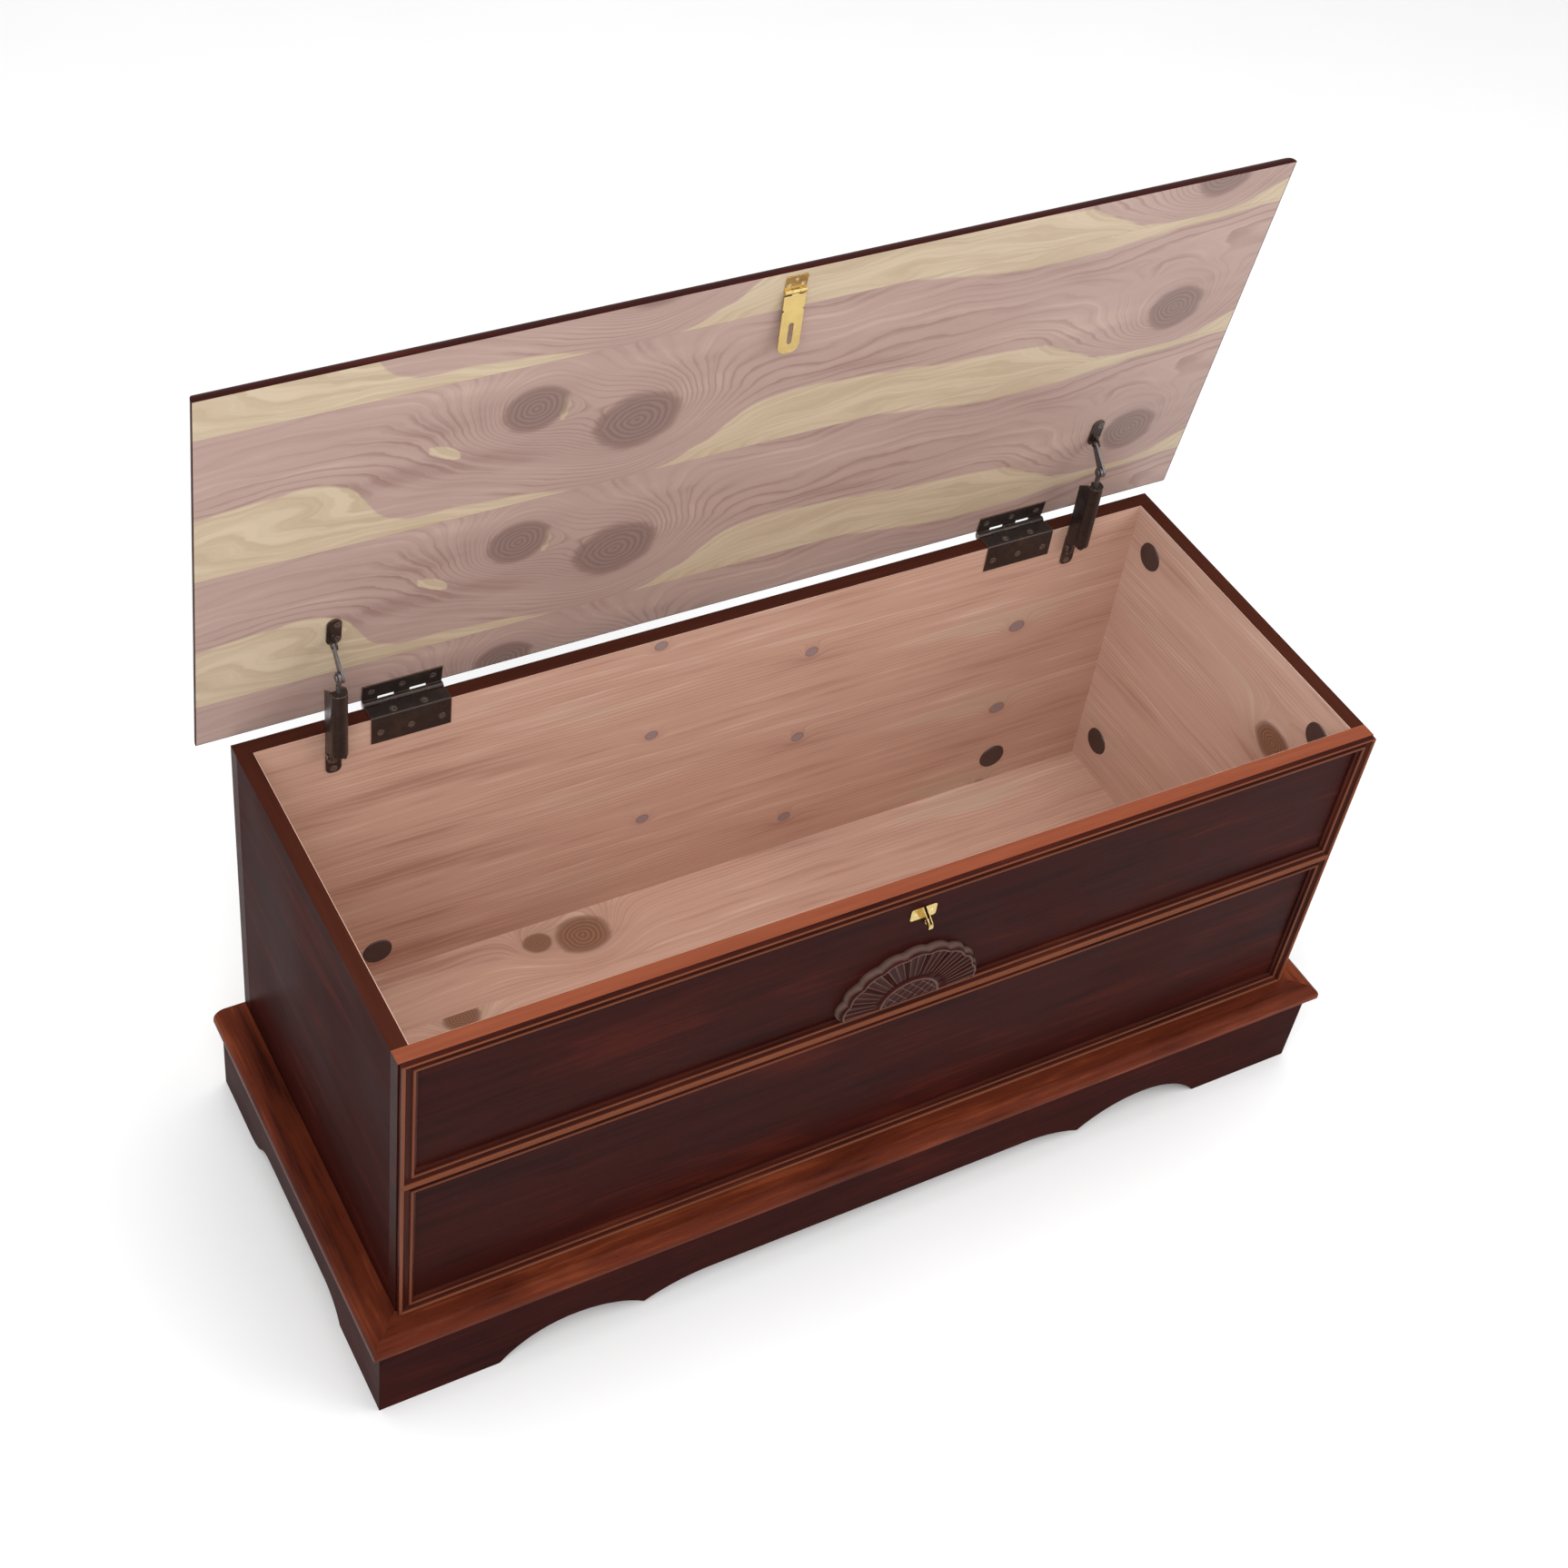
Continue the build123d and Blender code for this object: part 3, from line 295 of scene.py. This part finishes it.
field_back = stained("mahogany_back", X, FIELD, highlight=side_rim)
moulding_x = stained("moulding_wood_x", X, FRAME, gloss=0.3, highlight=crest_highlight)
moulding_z = stained("moulding_wood_z", Z, FRAME, gloss=0.3, highlight=crest_highlight)
ledge_front = stained("ledge_wood_x", X, NOSE, gloss=0.3)
ledge_side = stained("ledge_wood_y", Y, NOSE, gloss=0.3)
raw_x = stained("raw_pine_x", X, RAW, gloss=0.6)
raw_y = stained("raw_pine_y", Y, RAW, gloss=0.6)


# ============================================================== cedar
# dark, middle and light tones, and for knots the halo, the wood and its rings
HEART = (srgb(152, 125, 117), srgb(173, 148, 139), srgb(188, 163, 152))
HEART_LINE = srgb(136, 102, 94)
PINK_LINE = srgb(172, 124, 106)
SAP_DARK = srgb(182, 163, 138)
SAP = srgb(198, 181, 156)
PINK = (srgb(174, 134, 116), srgb(200, 163, 144), srgb(220, 190, 171))
# a lighter copy of PINK for the side linings: painted light on the side walls
PINK_PAINTED_LIGHT = (srgb(184, 146, 130), srgb(211, 179, 163), srgb(226, 200, 184))
GREY_KNOT = (srgb(116, 92, 86), srgb(122, 100, 94), srgb(144, 121, 113))
PIN_KNOT = (srgb(120, 84, 74), srgb(128, 108, 112), srgb(176, 158, 158))
BROWN_KNOT = (srgb(112, 74, 56), srgb(120, 84, 66), srgb(156, 116, 94))
# height between the contour lines of the grain, and how dark they are
LID_LINE_PITCH = 0.0085
LID_LINE_DEPTH = 0.6
WALL_LINE_PITCH = 0.0052
WALL_LINE_DEPTH = 0.55
# knots are longer along the grain; the other three are shares of a knot's radius
KNOT_SQUEEZE = 0.8
KNOT_REACH = 1.7
KNOT_RISE = 3.4
KNOT_RING = 0.19
# shares of a strip's width
SEAM_SHARE = 0.006
BAND_ZERO = 0.1


class Cedar(Shader):
    """Cedar boarded in equal strips. The grain is the contour lines of a height that rises
    across each strip and peaks at every knot, so that lines ring the knots."""

    def __init__(self, name, along, across, seam, pitch, wave, slope=1.0):
        super().__init__(name)
        self.pitch = pitch
        self.along = self.dot(along)
        strips = self.math("DIVIDE", self.math("SUBTRACT", self.dot(across), seam), pitch)
        self.share = self.math("FRACT", strips)
        self.above_seam = self.math("MULTIPLY", self.share, pitch)
        swell = self.flow(3.0, 9.0, seed=4.0, detail=2.0)
        self.ripple = self.flow(11.0, 34.0, seed=9.0, detail=3.0)
        self.slope = slope
        waves = self.math("MULTIPLY_ADD", self.ripple, 0.16, swell)
        rise = self.math("MULTIPLY", self.above_seam, slope)
        self.height = self.math("MULTIPLY_ADD", waves, wave, rise)
        self.knot_mask = 0.0
        self.knot_rings = 0.0
        self.halo = 0.0

    def flow(self, along, across, seed, detail, field=None):
        """Noise in the plane of the board, at its own scale along and across the grain."""
        over = self.above_seam if field is None else field
        u = self.math("MULTIPLY", self.along, along)
        v = self.math("MULTIPLY", over, across)
        return self.noise(self.combine(u, v, seed), detail=detail, rough=0.55)

    def offset(self, place, share):
        """Distances along and across the grain from a place, at a share of the strip's width."""
        du = self.math("SUBTRACT", self.along, place)
        dv = self.math("SUBTRACT", self.above_seam, share * self.pitch)
        return du, dv

    def peak(self, place, share, reach, rise):
        """Hill in the height field, of a given reach and rise."""
        du, dv = self.offset(place, share)
        du = self.math("MULTIPLY", du, KNOT_SQUEEZE)
        square = self.weighted((du, du), (dv, dv))
        fall = self.math("EXPONENT", self.math("DIVIDE", square, -reach * reach))
        self.height = self.math("ADD", self.height, self.math("MULTIPLY", fall, rise))
        return square, fall

    def knot(self, place, share, radius):
        """Round knot with fine rings, a darker rim and a soft uneven edge."""
        square, fall = self.peak(place, share, radius * KNOT_REACH, radius * KNOT_RISE)
        uneven = self.math("MULTIPLY", self.math("SUBTRACT", self.ripple, 0.5), radius * 0.5)
        far = self.math("ADD", self.math("SQRT", square), uneven)
        mask = self.step(far, radius * 1.02, radius * 0.82)
        ring = self.math("MULTIPLY", far, 2 * math.pi / (radius * KNOT_RING))
        ring = self.math("SINE", ring)
        rings = self.math("MULTIPLY", mask, self.math("MULTIPLY_ADD", ring, 0.35, 0.45))
        rim = self.math(
            "MULTIPLY",
            self.step(far, radius * 1.25, radius),
            self.step(far, radius * 0.6, radius * 0.95),
        )
        self.knot_rings = self.math("ADD", self.knot_rings, rings)
        self.halo = self.math("ADD", self.halo, self.math("MULTIPLY_ADD", fall, 0.4, rim))
        self.knot_mask = self.math("ADD", self.knot_mask, mask, clamp=True)

    def patch(self, place, share, length, width, lean):
        """Mask of a small pale lens, leaning across the grain."""
        du, dv = self.offset(place, share)
        dv = self.math("SUBTRACT", dv, self.math("MULTIPLY", du, lean))
        along = self.math("DIVIDE", du, length)
        over = self.math("DIVIDE", dv, width)
        square = self.weighted((along, along), (over, over))
        rough = self.flow(60.0, 90.0, seed=3.0, detail=2.0)
        return self.step(self.math("MULTIPLY_ADD", rough, 2.0, square), 2.2, 1.8)

    def sapwood(self, low_u, high_u, above, below):
        """Mask of the pale bands above and below each seam, by place along the grain.

        The bands' heights are shares of the strip, plus BAND_ZERO so that they can vanish."""
        way = self.math("DIVIDE", self.math("SUBTRACT", self.along, low_u), high_u - low_u)
        sway = self.math("MULTIPLY_ADD", self.ripple, 0.07, -0.035)
        masks = []
        from_top = self.math("SUBTRACT", 1.0, self.share)
        for stops, place in ((above, self.share), (below, from_top)):
            level = self.math("SUBTRACT", self.ramp(way, stops, "CARDINAL"), BAND_ZERO)
            level = self.math("ADD", level, sway)
            masks.append(self.step(self.math("SUBTRACT", place, level), 0.012, -0.012))
        return self.math("MAXIMUM", *masks)

    def finish(self, tones, contour, knot_tones, line_pitch, depth, pale=None):
        """Colours the wood from its streaks, contour lines, pale bands, knots and seams."""
        dark, middle, light = tones
        streak = self.flow(5.0, 150.0 / self.slope, seed=2.0, detail=5.0, field=self.height)
        band = self.flow(4.0, 22.0, seed=7.0, detail=2.0)
        show = self.step(self.flow(4.0, 16.0, seed=5.0, detail=1.0), 0.35, 0.65, 0.15, 0.85)
        turn = self.math("FRACT", self.math("DIVIDE", self.height, line_pitch))
        line = self.math("MULTIPLY", self.step(turn, 0.62, 0.93), self.step(turn, 1.0, 0.96))
        line = self.math("MULTIPLY", line, show)
        tone = self.weighted((streak, 0.5), (band, 0.5))
        colour = self.ramp(tone, [(0.30, dark), (0.5, middle), (0.70, light)])
        colour = self.mix(self.math("MULTIPLY", line, depth), colour, contour)
        if pale is None:
            gleam = self.step(band, 0.60, 0.74)
            colour = self.mix(self.math("MULTIPLY", gleam, 0.35), colour, SAP_DARK)
        else:
            sap = self.mix(self.step(streak, 0.35, 0.65), SAP_DARK, SAP)
            sap = self.mix(self.math("MULTIPLY", line, 0.5), sap, SAP_DARK)
            pale = self.math("MULTIPLY", pale, self.math("SUBTRACT", 1.0, self.knot_mask))
            colour = self.mix(pale, colour, sap)
        colour = self.mix(self.math("MULTIPLY", self.halo, 0.5, clamp=True), colour, knot_tones[0])
        rings = self.mix(self.knot_rings, knot_tones[1], knot_tones[2])
        colour = self.mix(self.knot_mask, colour, rings)
        joint = self.math("MINIMUM", self.share, self.math("SUBTRACT", 1.0, self.share))
        colour = self.mix(self.step(joint, SEAM_SHARE, 0.0, 0.0, 0.3), colour, dark)
        roughness = self.step(streak, 0.3, 0.7, 0.42, 0.5)
        normal = self.bump(streak, strength=0.08, distance=0.0003)
        self.set(Base_Color=colour, Roughness=roughness, Normal=normal)
        return self.set(Coat_Weight=0.03, Coat_Roughness=0.35, Specular_IOR_Level=0.20)


def lowest(node, direction):
    """Smallest projection of a CAD node's points on a direction."""
    return min(Vector(direction).dot(v.co) for v in cad_nodes[node].data.vertices)


open_angle = math.radians(joints["lid_hinge"]["range_deg"][1])
lid_up = (0.0, -math.cos(open_angle), math.sin(open_angle))
lid_low = lowest("lid_panel", lid_up)
lid_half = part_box("lid_panel")[1].x
LID_SEAM = 0.0594
LID_STRIP = 0.1825
# each knot: place along the grain, share of the strip's width, radius
LID_KNOTS = [(-0.261, 0.685, 0.025), (-0.149, 0.431, 0.033), (0.504, 0.29, 0.025)]
# each swell of the grain: place along the grain, share of the strip's width, reach, rise
LID_SWELLS = [(-0.23, 0.55, 0.105, 0.060), (0.47, 0.32, 0.070, 0.035), (0.05, 0.95, 0.060, 0.020)]
# each pale fleck: place along the grain, share of the strip's width, length, width, lean
LID_FLECKS = [(-0.352, 0.52, 0.017, 0.008, -0.55), (-0.231, 0.65, 0.005, 0.014, 0.4)]
# heights of the pale bands along the grain, from the left end of the lid to the right
SAP_ABOVE = [
    (0.0, 0.54), (0.068, 0.595), (0.108, 0.585), (0.132, 0.49), (0.149, 0.29), (0.175, 0.19),
    (0.223, 0.19), (0.318, 0.11), (0.372, 0.07), (0.396, 0.09), (0.427, 0.18), (0.454, 0.27),
    (0.474, 0.385), (0.50, 0.455), (0.569, 0.45), (0.67, 0.394), (0.785, 0.34), (0.815, 0.23),
    (0.84, 0.15), (0.88, 0.09), (0.928, 0.08), (0.961, 0.135), (1.0, 0.24),
]
SAP_BELOW = [
    (0.0, 0.04), (0.60, 0.05), (0.625, 0.10), (0.67, 0.17), (0.75, 0.218), (0.84, 0.188), (1.0, 0.12),
]


def lid_cedar():
    """Greyish heartwood with cream bands of sapwood along the seams, for the lid."""
    s = Cedar("cedar_lid", X, lid_up, lid_low + LID_SEAM, LID_STRIP, wave=0.060, slope=0.5)
    for knot in LID_KNOTS:
        s.knot(*knot)
    for swell in LID_SWELLS:
        s.peak(*swell)
    pale = s.sapwood(-lid_half, lid_half, SAP_ABOVE, SAP_BELOW)
    for fleck in LID_FLECKS:
        pale = s.math("MAXIMUM", pale, s.patch(*fleck))
    return s.finish(HEART, HEART_LINE, GREY_KNOT, LID_LINE_PITCH, LID_LINE_DEPTH, pale)


def wall_cedar(name, along, across, strips, knots, knot_tones, tones):
    """Pinker cedar with fine lines, for the linings inside the chest."""
    s = Cedar(name, along, across, **strips)
    for knot in knots:
        s.knot(*knot)
    return s.finish(tones, PINK_LINE, knot_tones, WALL_LINE_PITCH, WALL_LINE_DEPTH)


PIN_KNOTS = [(-0.086, 0.317, 0.006), (0.1115, 0.76, 0.006), (0.4015, 0.34, 0.008)]
FLOOR_KNOTS = [(-0.171, 0.283, 0.024), (-0.225, 0.333, 0.013), (-0.349, 0.967, 0.016)]
SIDE_KNOTS = [(0.101, 0.60, 0.022)]
BACK_STRIPS = {"seam": 0.0750, "pitch": 0.1355, "wave": 0.020}
FLOOR_STRIPS = {"seam": 0.118, "pitch": 0.18, "wave": 0.030}
SIDE_STRIPS = {"seam": 0.0950, "pitch": 0.205, "wave": 0.025}
cedar_lid = lid_cedar()
cedar_back = wall_cedar("cedar_back", X, Z, BACK_STRIPS, PIN_KNOTS, PIN_KNOT, PINK)
cedar_floor = wall_cedar("cedar_floor", X, Y, FLOOR_STRIPS, FLOOR_KNOTS, BROWN_KNOT, PINK)
cedar_side = wall_cedar("cedar_side", FORWARD, Z, SIDE_STRIPS, SIDE_KNOTS, BROWN_KNOT, PINK_PAINTED_LIGHT)


# ============================================================== metals and plastic
def metal(name, base, worn, rough, wear=0.35, metallic=1.0, edge=METAL_ARRIS):
    """Plated or lacquered metal: cloudy patina, rubbed arrises and a fine surface grain."""
    s = Shader(name)
    cloud = s.noise(s.point, scale=60.0, detail=4.0, rough=0.6)
    fine = s.noise(s.point, scale=2400.0, detail=3.0, rough=0.6)
    smooth, arris = s.rounded(edge)
    patina = s.step(cloud, 0.5, 0.8, 0.0, wear)
    rubbed = s.math("MAXIMUM", patina, s.math("MULTIPLY", arris, 0.9))
    colour = s.mix(rubbed, base, worn)
    roughness = s.step(cloud, 0.3, 0.7, rough - 0.06, rough + 0.08)
    normal = s.bump(fine, strength=0.05, distance=0.0001, normal=smooth)
    s.set(Base_Color=colour, Roughness=roughness, Normal=normal)
    return s.set(Metallic=metallic)


bronze = metal(
    "antique_bronze", srgb(62, 53, 50), srgb(158, 124, 100),
    rough=0.30, wear=0.12, metallic=0.6, edge=PLATE_ARRIS,
)
# screws, pins and rivets are a lighter copy of the bronze: a painted highlight on them
highlit_bronze = metal(
    "bronze_screws", srgb(96, 86, 82), srgb(176, 152, 132), rough=0.26, wear=0.3, metallic=0.6
)
link_steel = metal(
    "bronze_links", srgb(100, 95, 96), srgb(158, 150, 146), rough=0.32, wear=0.4, metallic=0.7
)
brass = metal("polished_brass", srgb(206, 180, 116), srgb(236, 216, 158), rough=0.24, wear=0.6)
# the screws are a lighter copy of the brass: a painted highlight on their heads
highlit_brass_screws = metal("highlit_brass_screws", srgb(240, 222, 168), srgb(250, 238, 200), rough=0.2)
steel = metal("spring_steel", srgb(150, 150, 152), srgb(196, 196, 198), rough=0.3)


def plastic():
    """Brown matte plastic with a fine grain."""
    s = Shader("cap_plastic")
    speck = s.noise(s.point, scale=1400.0, detail=2.0, rough=0.6)
    cloud = s.noise(s.point, scale=60.0, detail=2.0)
    colour = s.mix(cloud, srgb(58, 42, 40), srgb(76, 56, 52))
    s.set(Base_Color=colour, Roughness=s.step(cloud, 0.3, 0.7, 0.42, 0.52))
    return s.set(Normal=s.bump(speck, strength=0.15, distance=0.0002))


cap_plastic = plastic()


# ============================================================== finishes on the CAD nodes
BRONZE_PARTS = ("hinge_rim_leaf", "hinge_lid_leaf", "support_bracket", "support_housing", "support_foot")
LINK_PARTS = ("support_rod", "support_link")
node_material = {
    "front_panel": field_x_rim,
    "back_panel": field_back,
    "lid_panel": field_x,
    "front_skirt": skirt_x,
    "front_ledge": ledge_front,
    "floor_board": raw_x,
    "back_rail": raw_x,
    "plinth_cleats": raw_x,
    "corner_blocks": raw_y,
    "front_lining": cedar_back,
    "back_lining": cedar_back,
    "floor_lining": cedar_floor,
    "lid_lining": cedar_lid,
    "cover_caps": cap_plastic,
    "cam_fittings": steel,
    "hasp_leaf": brass,
    "hasp_pin": brass,
    "hasp_strap": brass,
    "hasp_screws": highlit_brass_screws,
    "staple": brass,
    "staple_screws": highlit_brass_screws,
    "support_pivot_rivets": highlit_bronze,
    "hinge_pins": highlit_bronze,
    "hinge_rim_screws": highlit_bronze,
    "hinge_lid_screws": highlit_bronze,
    "support_bracket_screws": highlit_bronze,
    "support_foot_screws": highlit_bronze,
}
for side in SIDES:
    node_material[f"{side}_side_panel"] = field_y
    node_material[f"{side}_skirt"] = skirt_y
    node_material[f"{side}_ledge"] = ledge_side
    node_material[f"{side}_side_lining"] = cedar_side
    node_material[f"{side}_support_spring"] = steel
    for part in BRONZE_PARTS:
        node_material[f"{side}_{part}"] = bronze
    for part in LINK_PARTS:
        node_material[f"{side}_{part}"] = link_steel
for level in ("upper", "lower"):
    for edge in ("top", "bottom"):
        node_material[f"{level}_{edge}_moulding"] = moulding_x
    for edge in SIDES:
        node_material[f"{level}_{edge}_moulding"] = moulding_z

for node, material in node_material.items():
    slots = cad_nodes[node].data.materials
    slots.clear()
    slots.append(material)


def soften(node, width):
    """Rounds the arrises of a flat-sided board a little."""
    cad = cad_nodes[node]
    weld = cad.modifiers.new("join", "WELD")
    weld.merge_threshold = WELD_GAP
    bevel = cad.modifiers.new("arris", "BEVEL")
    bevel.width = width
    bevel.segments = 2
    bevel.limit_method = "ANGLE"
    bevel.angle_limit = math.radians(40)


for node in ("front_panel", "back_panel", "left_side_panel", "right_side_panel"):
    soften(node, BOARD_ARRIS)


# ============================================================== carved fan
# colours of the painted highlight on the carving's ridges and edge
CARVING_HIGHLIGHT = srgb(84, 62, 56)
CARVING_HIGHLIGHT_BRIGHT = srgb(112, 88, 80)
# the raised ridges stand 9 to 10 mm proud of the front panel
RIDGE_LOW = 0.0090
RIDGE_HIGH = 0.0100

# the fan stays a little inside the box of its CAD solid
FAN_MARGIN_X = 0.0006
FAN_MARGIN_Z = 0.0008
FAN_MARGIN_Y = 0.0004

# petals, and the steps of the mesh across each petal and from the middle outward
PETALS = 9
PETAL_COLUMNS = 24
FAN_RINGS = 64

# shares of the fan's radius
BOSS_EDGE = 0.42
BEVEL_START = 0.915
SCALLOP_START = 0.6
SCALLOP_DEPTH = 0.045

# shares of the boss's radius, from its edge inward
BOSS_RING_WIDTH = 0.09
LATTICE_START = 0.12

# pitch of the lattice, and half of the gap between its lines as a share of the pitch
LATTICE_PITCH = 0.0125
LATTICE_GAP = 0.42

# shares of a petal's width and length, and the number of ridges on it
GROOVE_WIDTH = 0.20
ROOT_LENGTH = 0.10
RIDGES = 3

# heights and depths as shares of the fan's thickness
BOSS_RING_HEIGHT = 0.97
BOSS_HEIGHT = 0.79
BOSS_CROWN = 0.05
LATTICE_HEIGHT = 0.075
PETAL_HEIGHT = 0.80
RIDGE_RISE = 0.15
GROOVE_DEPTH = 0.30
ROOT_DEPTH = 0.10
BEVEL_HEIGHT = 0.95


def carving_highlight_mask(s):
    """Mask of the carving's raised ridges and of its edge, where a painted highlight is laid."""
    ridge = raised(FORWARD, RIDGE_LOW - panel_front, RIDGE_HIGH - panel_front)(s)
    facing = s.vector("DOT_PRODUCT", s.geometry.outputs["Normal"], FORWARD)
    return s.math("MAXIMUM", s.math("MULTIPLY", ridge, 0.8), s.step(facing, 0.60, 0.35))


def boss_height(x, z, inward):
    """Boss with a raised ring round crossing raised lines."""
    if inward < BOSS_RING_WIDTH:
        return BOSS_RING_HEIGHT
    height = BOSS_HEIGHT + BOSS_CROWN * math.cos(inward * 1.4)
    for line in (x + z, x - z):
        beside = abs((line / LATTICE_PITCH) % 1.0 - 0.5)
        if inward > LATTICE_START and beside > LATTICE_GAP:
            height += LATTICE_HEIGHT
    return height


def petal_height(petal, outward):
    """Petal with fine ridges along it, between grooves that deepen to the fan's edge."""
    beside = abs(2 * petal - 1)
    groove = max(0.0, (beside - 1 + GROOVE_WIDTH) / GROOVE_WIDTH) * (0.35 + 0.65 * outward)
    ridge = max(0.0, -math.cos(petal * RIDGES * 2 * math.pi)) ** 4 * min(1.0, 4 * outward)
    root = math.exp(-((outward / ROOT_LENGTH) ** 2))
    return PETAL_HEIGHT + RIDGE_RISE * ridge - GROOVE_DEPTH * groove - ROOT_DEPTH * root


def petal_share(angle):
    """How far an angle lies across its petal."""
    turn = angle / math.pi * PETALS
    return turn - math.floor(turn)


def fan_height(angle, share, half, tall):
    """Height of the carved face over the panel, as a share of the fan's thickness."""
    if share < BOSS_EDGE:
        x = share * half * math.cos(angle)
        z = share * tall * math.sin(angle)
        return boss_height(x, z, (BOSS_EDGE - share) / BOSS_EDGE)
    if share > BEVEL_START:
        fall = (share - BEVEL_START) / (1 - BEVEL_START)
        return BEVEL_HEIGHT * (1 - fall**2.2)
    outward = (share - BOSS_EDGE) / (BEVEL_START - BOSS_EDGE)
    return petal_height(petal_share(angle), outward)


def fan_rows(mesh):
    """Rings of points over the carved face, from the middle to the scalloped edge."""
    low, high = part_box("fan_carving")
    centre_x = (low.x + high.x) / 2
    half = (high.x - low.x) / 2 - FAN_MARGIN_X
    tall = high.z - low.z - FAN_MARGIN_Z
    deep = panel_front - low.y - FAN_MARGIN_Y
    columns = PETALS * PETAL_COLUMNS
    rows = []
    for ring in range(FAN_RINGS + 1):
        share = ring / FAN_RINGS
        notch = max(0.0, (share - SCALLOP_START) / (1 - SCALLOP_START))
        row = []
        for column in range(columns + 1):
            angle = math.pi * column / columns
            arch = math.sin(math.pi * petal_share(angle)) ** 0.8
            reach = share * (1 - SCALLOP_DEPTH * (1 - arch) * notch)
            x = centre_x + half * reach * math.cos(angle)
            z = low.z + tall * reach * math.sin(angle)
            y = panel_front - deep * fan_height(angle, share, half, tall)
            row.append(mesh.verts.new((x, y, z)))
        rows.append(row)
    return rows


def bridge(mesh, first, second):
    """Faces between two rows of points."""
    for a, b, c, d in zip(first, first[1:], second[1:], second):
        mesh.faces.new((a, b, c, d))


def fan_shell():
    """Half-round carved shell: fluted petals with a scalloped bevelled edge round a boss
    that is cut with a lattice."""
    mesh = bmesh.new()
    rows = fan_rows(mesh)
    for inner, outer in zip(rows, rows[1:]):
        bridge(mesh, inner, outer)
    # the straight lower side goes back to the panel, and the back closes against it
    lower = [row[0] for row in reversed(rows)] + [row[-1] for row in rows[1:]]
    feet = [mesh.verts.new((v.co.x, panel_front, v.co.z)) for v in lower]
    bridge(mesh, lower, feet)
    bmesh.ops.remove_doubles(mesh, verts=mesh.verts, dist=WELD_GAP)
    open_edges = [edge for edge in mesh.edges if edge.is_boundary]
    bmesh.ops.holes_fill(mesh, edges=open_edges, sides=0)
    bmesh.ops.recalc_face_normals(mesh, faces=mesh.faces)
    data = bpy.data.meshes.new("carved_fan")
    mesh.to_mesh(data)
    mesh.free()
    data.shade_smooth()
    shell = bpy.data.objects.new("carved_fan", data)
    bpy.context.scene.collection.objects.link(shell)
    return shell


carving_highlight = (carving_highlight_mask, CARVING_HIGHLIGHT, CARVING_HIGHLIGHT_BRIGHT)
carving = stained("mahogany_carving", X, FIELD, gloss=0.3, shine=0.05, highlight=carving_highlight)
fan = fan_shell()
fan.data.materials.append(carving)
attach(fan, "carcase")
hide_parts("fan_carving")


# ============================================================== springs of the supports
def support_spring(side):
    """Coil spring copied from the CAD part and carried with the housing."""
    node = f"{side}_support_spring"
    spring = bpy.data.objects.new(f"{side}_coil_spring", cad_nodes[node].data.copy())
    bpy.context.scene.collection.objects.link(spring)
    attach(spring, f"{side}_housing")
    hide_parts(node)
    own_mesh(spring)


for side in SIDES:
    support_spring(side)


# ============================================================== floor, light and camera
FLOOR_REACH = 8.0
FLOOR_DROP = 0.0003
FLOOR_TONES = ((0.90, 0.90, 0.90, 1.0), (0.93, 0.93, 0.93, 1.0))
LIGHT_AIM = (0.0, 0.0, 0.45)
# each light: name, place, width and height, power in watts
LIGHTS = (
    ("key", (-1.8, -2.2, 3.4), (2.4, 2.4), 70.0),
    ("fill", (2.6, -2.0, 2.2), (2.5, 2.0), 35.0),
    ("top", (0.2, 0.3, 3.8), (3.0, 2.0), 55.0),
)
WORLD_COLOUR = (1.0, 1.0, 1.0, 1.0)
WORLD_STRENGTH = 0.75


def stage_floor():
    """Plain pale floor just under the feet."""
    z = cad_low.z - FLOOR_DROP
    corners = [(x * FLOOR_REACH, y * FLOOR_REACH, z) for x, y in ((-1, -1), (1, -1), (1, 1), (-1, 1))]
    mesh = bpy.data.meshes.new("floor")
    mesh.from_pydata(corners, [], [(0, 1, 2, 3)])
    floor = bpy.data.objects.new("floor", mesh)
    bpy.context.scene.collection.objects.link(floor)
    s = Shader("floor_paper")
    mottle = s.noise(s.point, scale=3.0, detail=2.0)
    colour = s.mix(mottle, *FLOOR_TONES)
    floor.data.materials.append(s.set(Base_Color=colour, Roughness=0.9))


def area_light(name, place, size, power):
    """Rectangular lamp that points at the chest."""
    data = bpy.data.lights.new(name, "AREA")
    data.shape = "RECTANGLE"
    data.size, data.size_y = size
    data.energy = power
    lamp = bpy.data.objects.new(name, data)
    lamp.location = place
    lamp.rotation_euler = (Vector(LIGHT_AIM) - Vector(place)).to_track_quat("-Z", "Y").to_euler()
    bpy.context.scene.collection.objects.link(lamp)


def surroundings():
    """Even white light from all sides."""
    world = bpy.data.worlds.new("studio")
    world.use_nodes = True
    background = world.node_tree.nodes["Background"]
    background.inputs["Color"].default_value = WORLD_COLOUR
    background.inputs["Strength"].default_value = WORLD_STRENGTH
    bpy.context.scene.world = world


def camera():
    """Camera in front of the chest, to its left and well above the rim."""
    data = bpy.data.cameras.new("camera")
    data.sensor_width = CAMERA_SENSOR
    data.lens = CAMERA_LENS
    data.shift_x, data.shift_y = CAMERA_SHIFT
    view = bpy.data.objects.new("camera", data)
    view.location = CAMERA_PLACE
    view.rotation_euler = Euler([math.radians(angle) for angle in CAMERA_TURN])
    bpy.context.scene.collection.objects.link(view)
    bpy.context.scene.camera = view


stage_floor()
for light in LIGHTS:
    area_light(*light)
surroundings()
camera()
bpy.context.scene.view_settings.view_transform = "Standard"
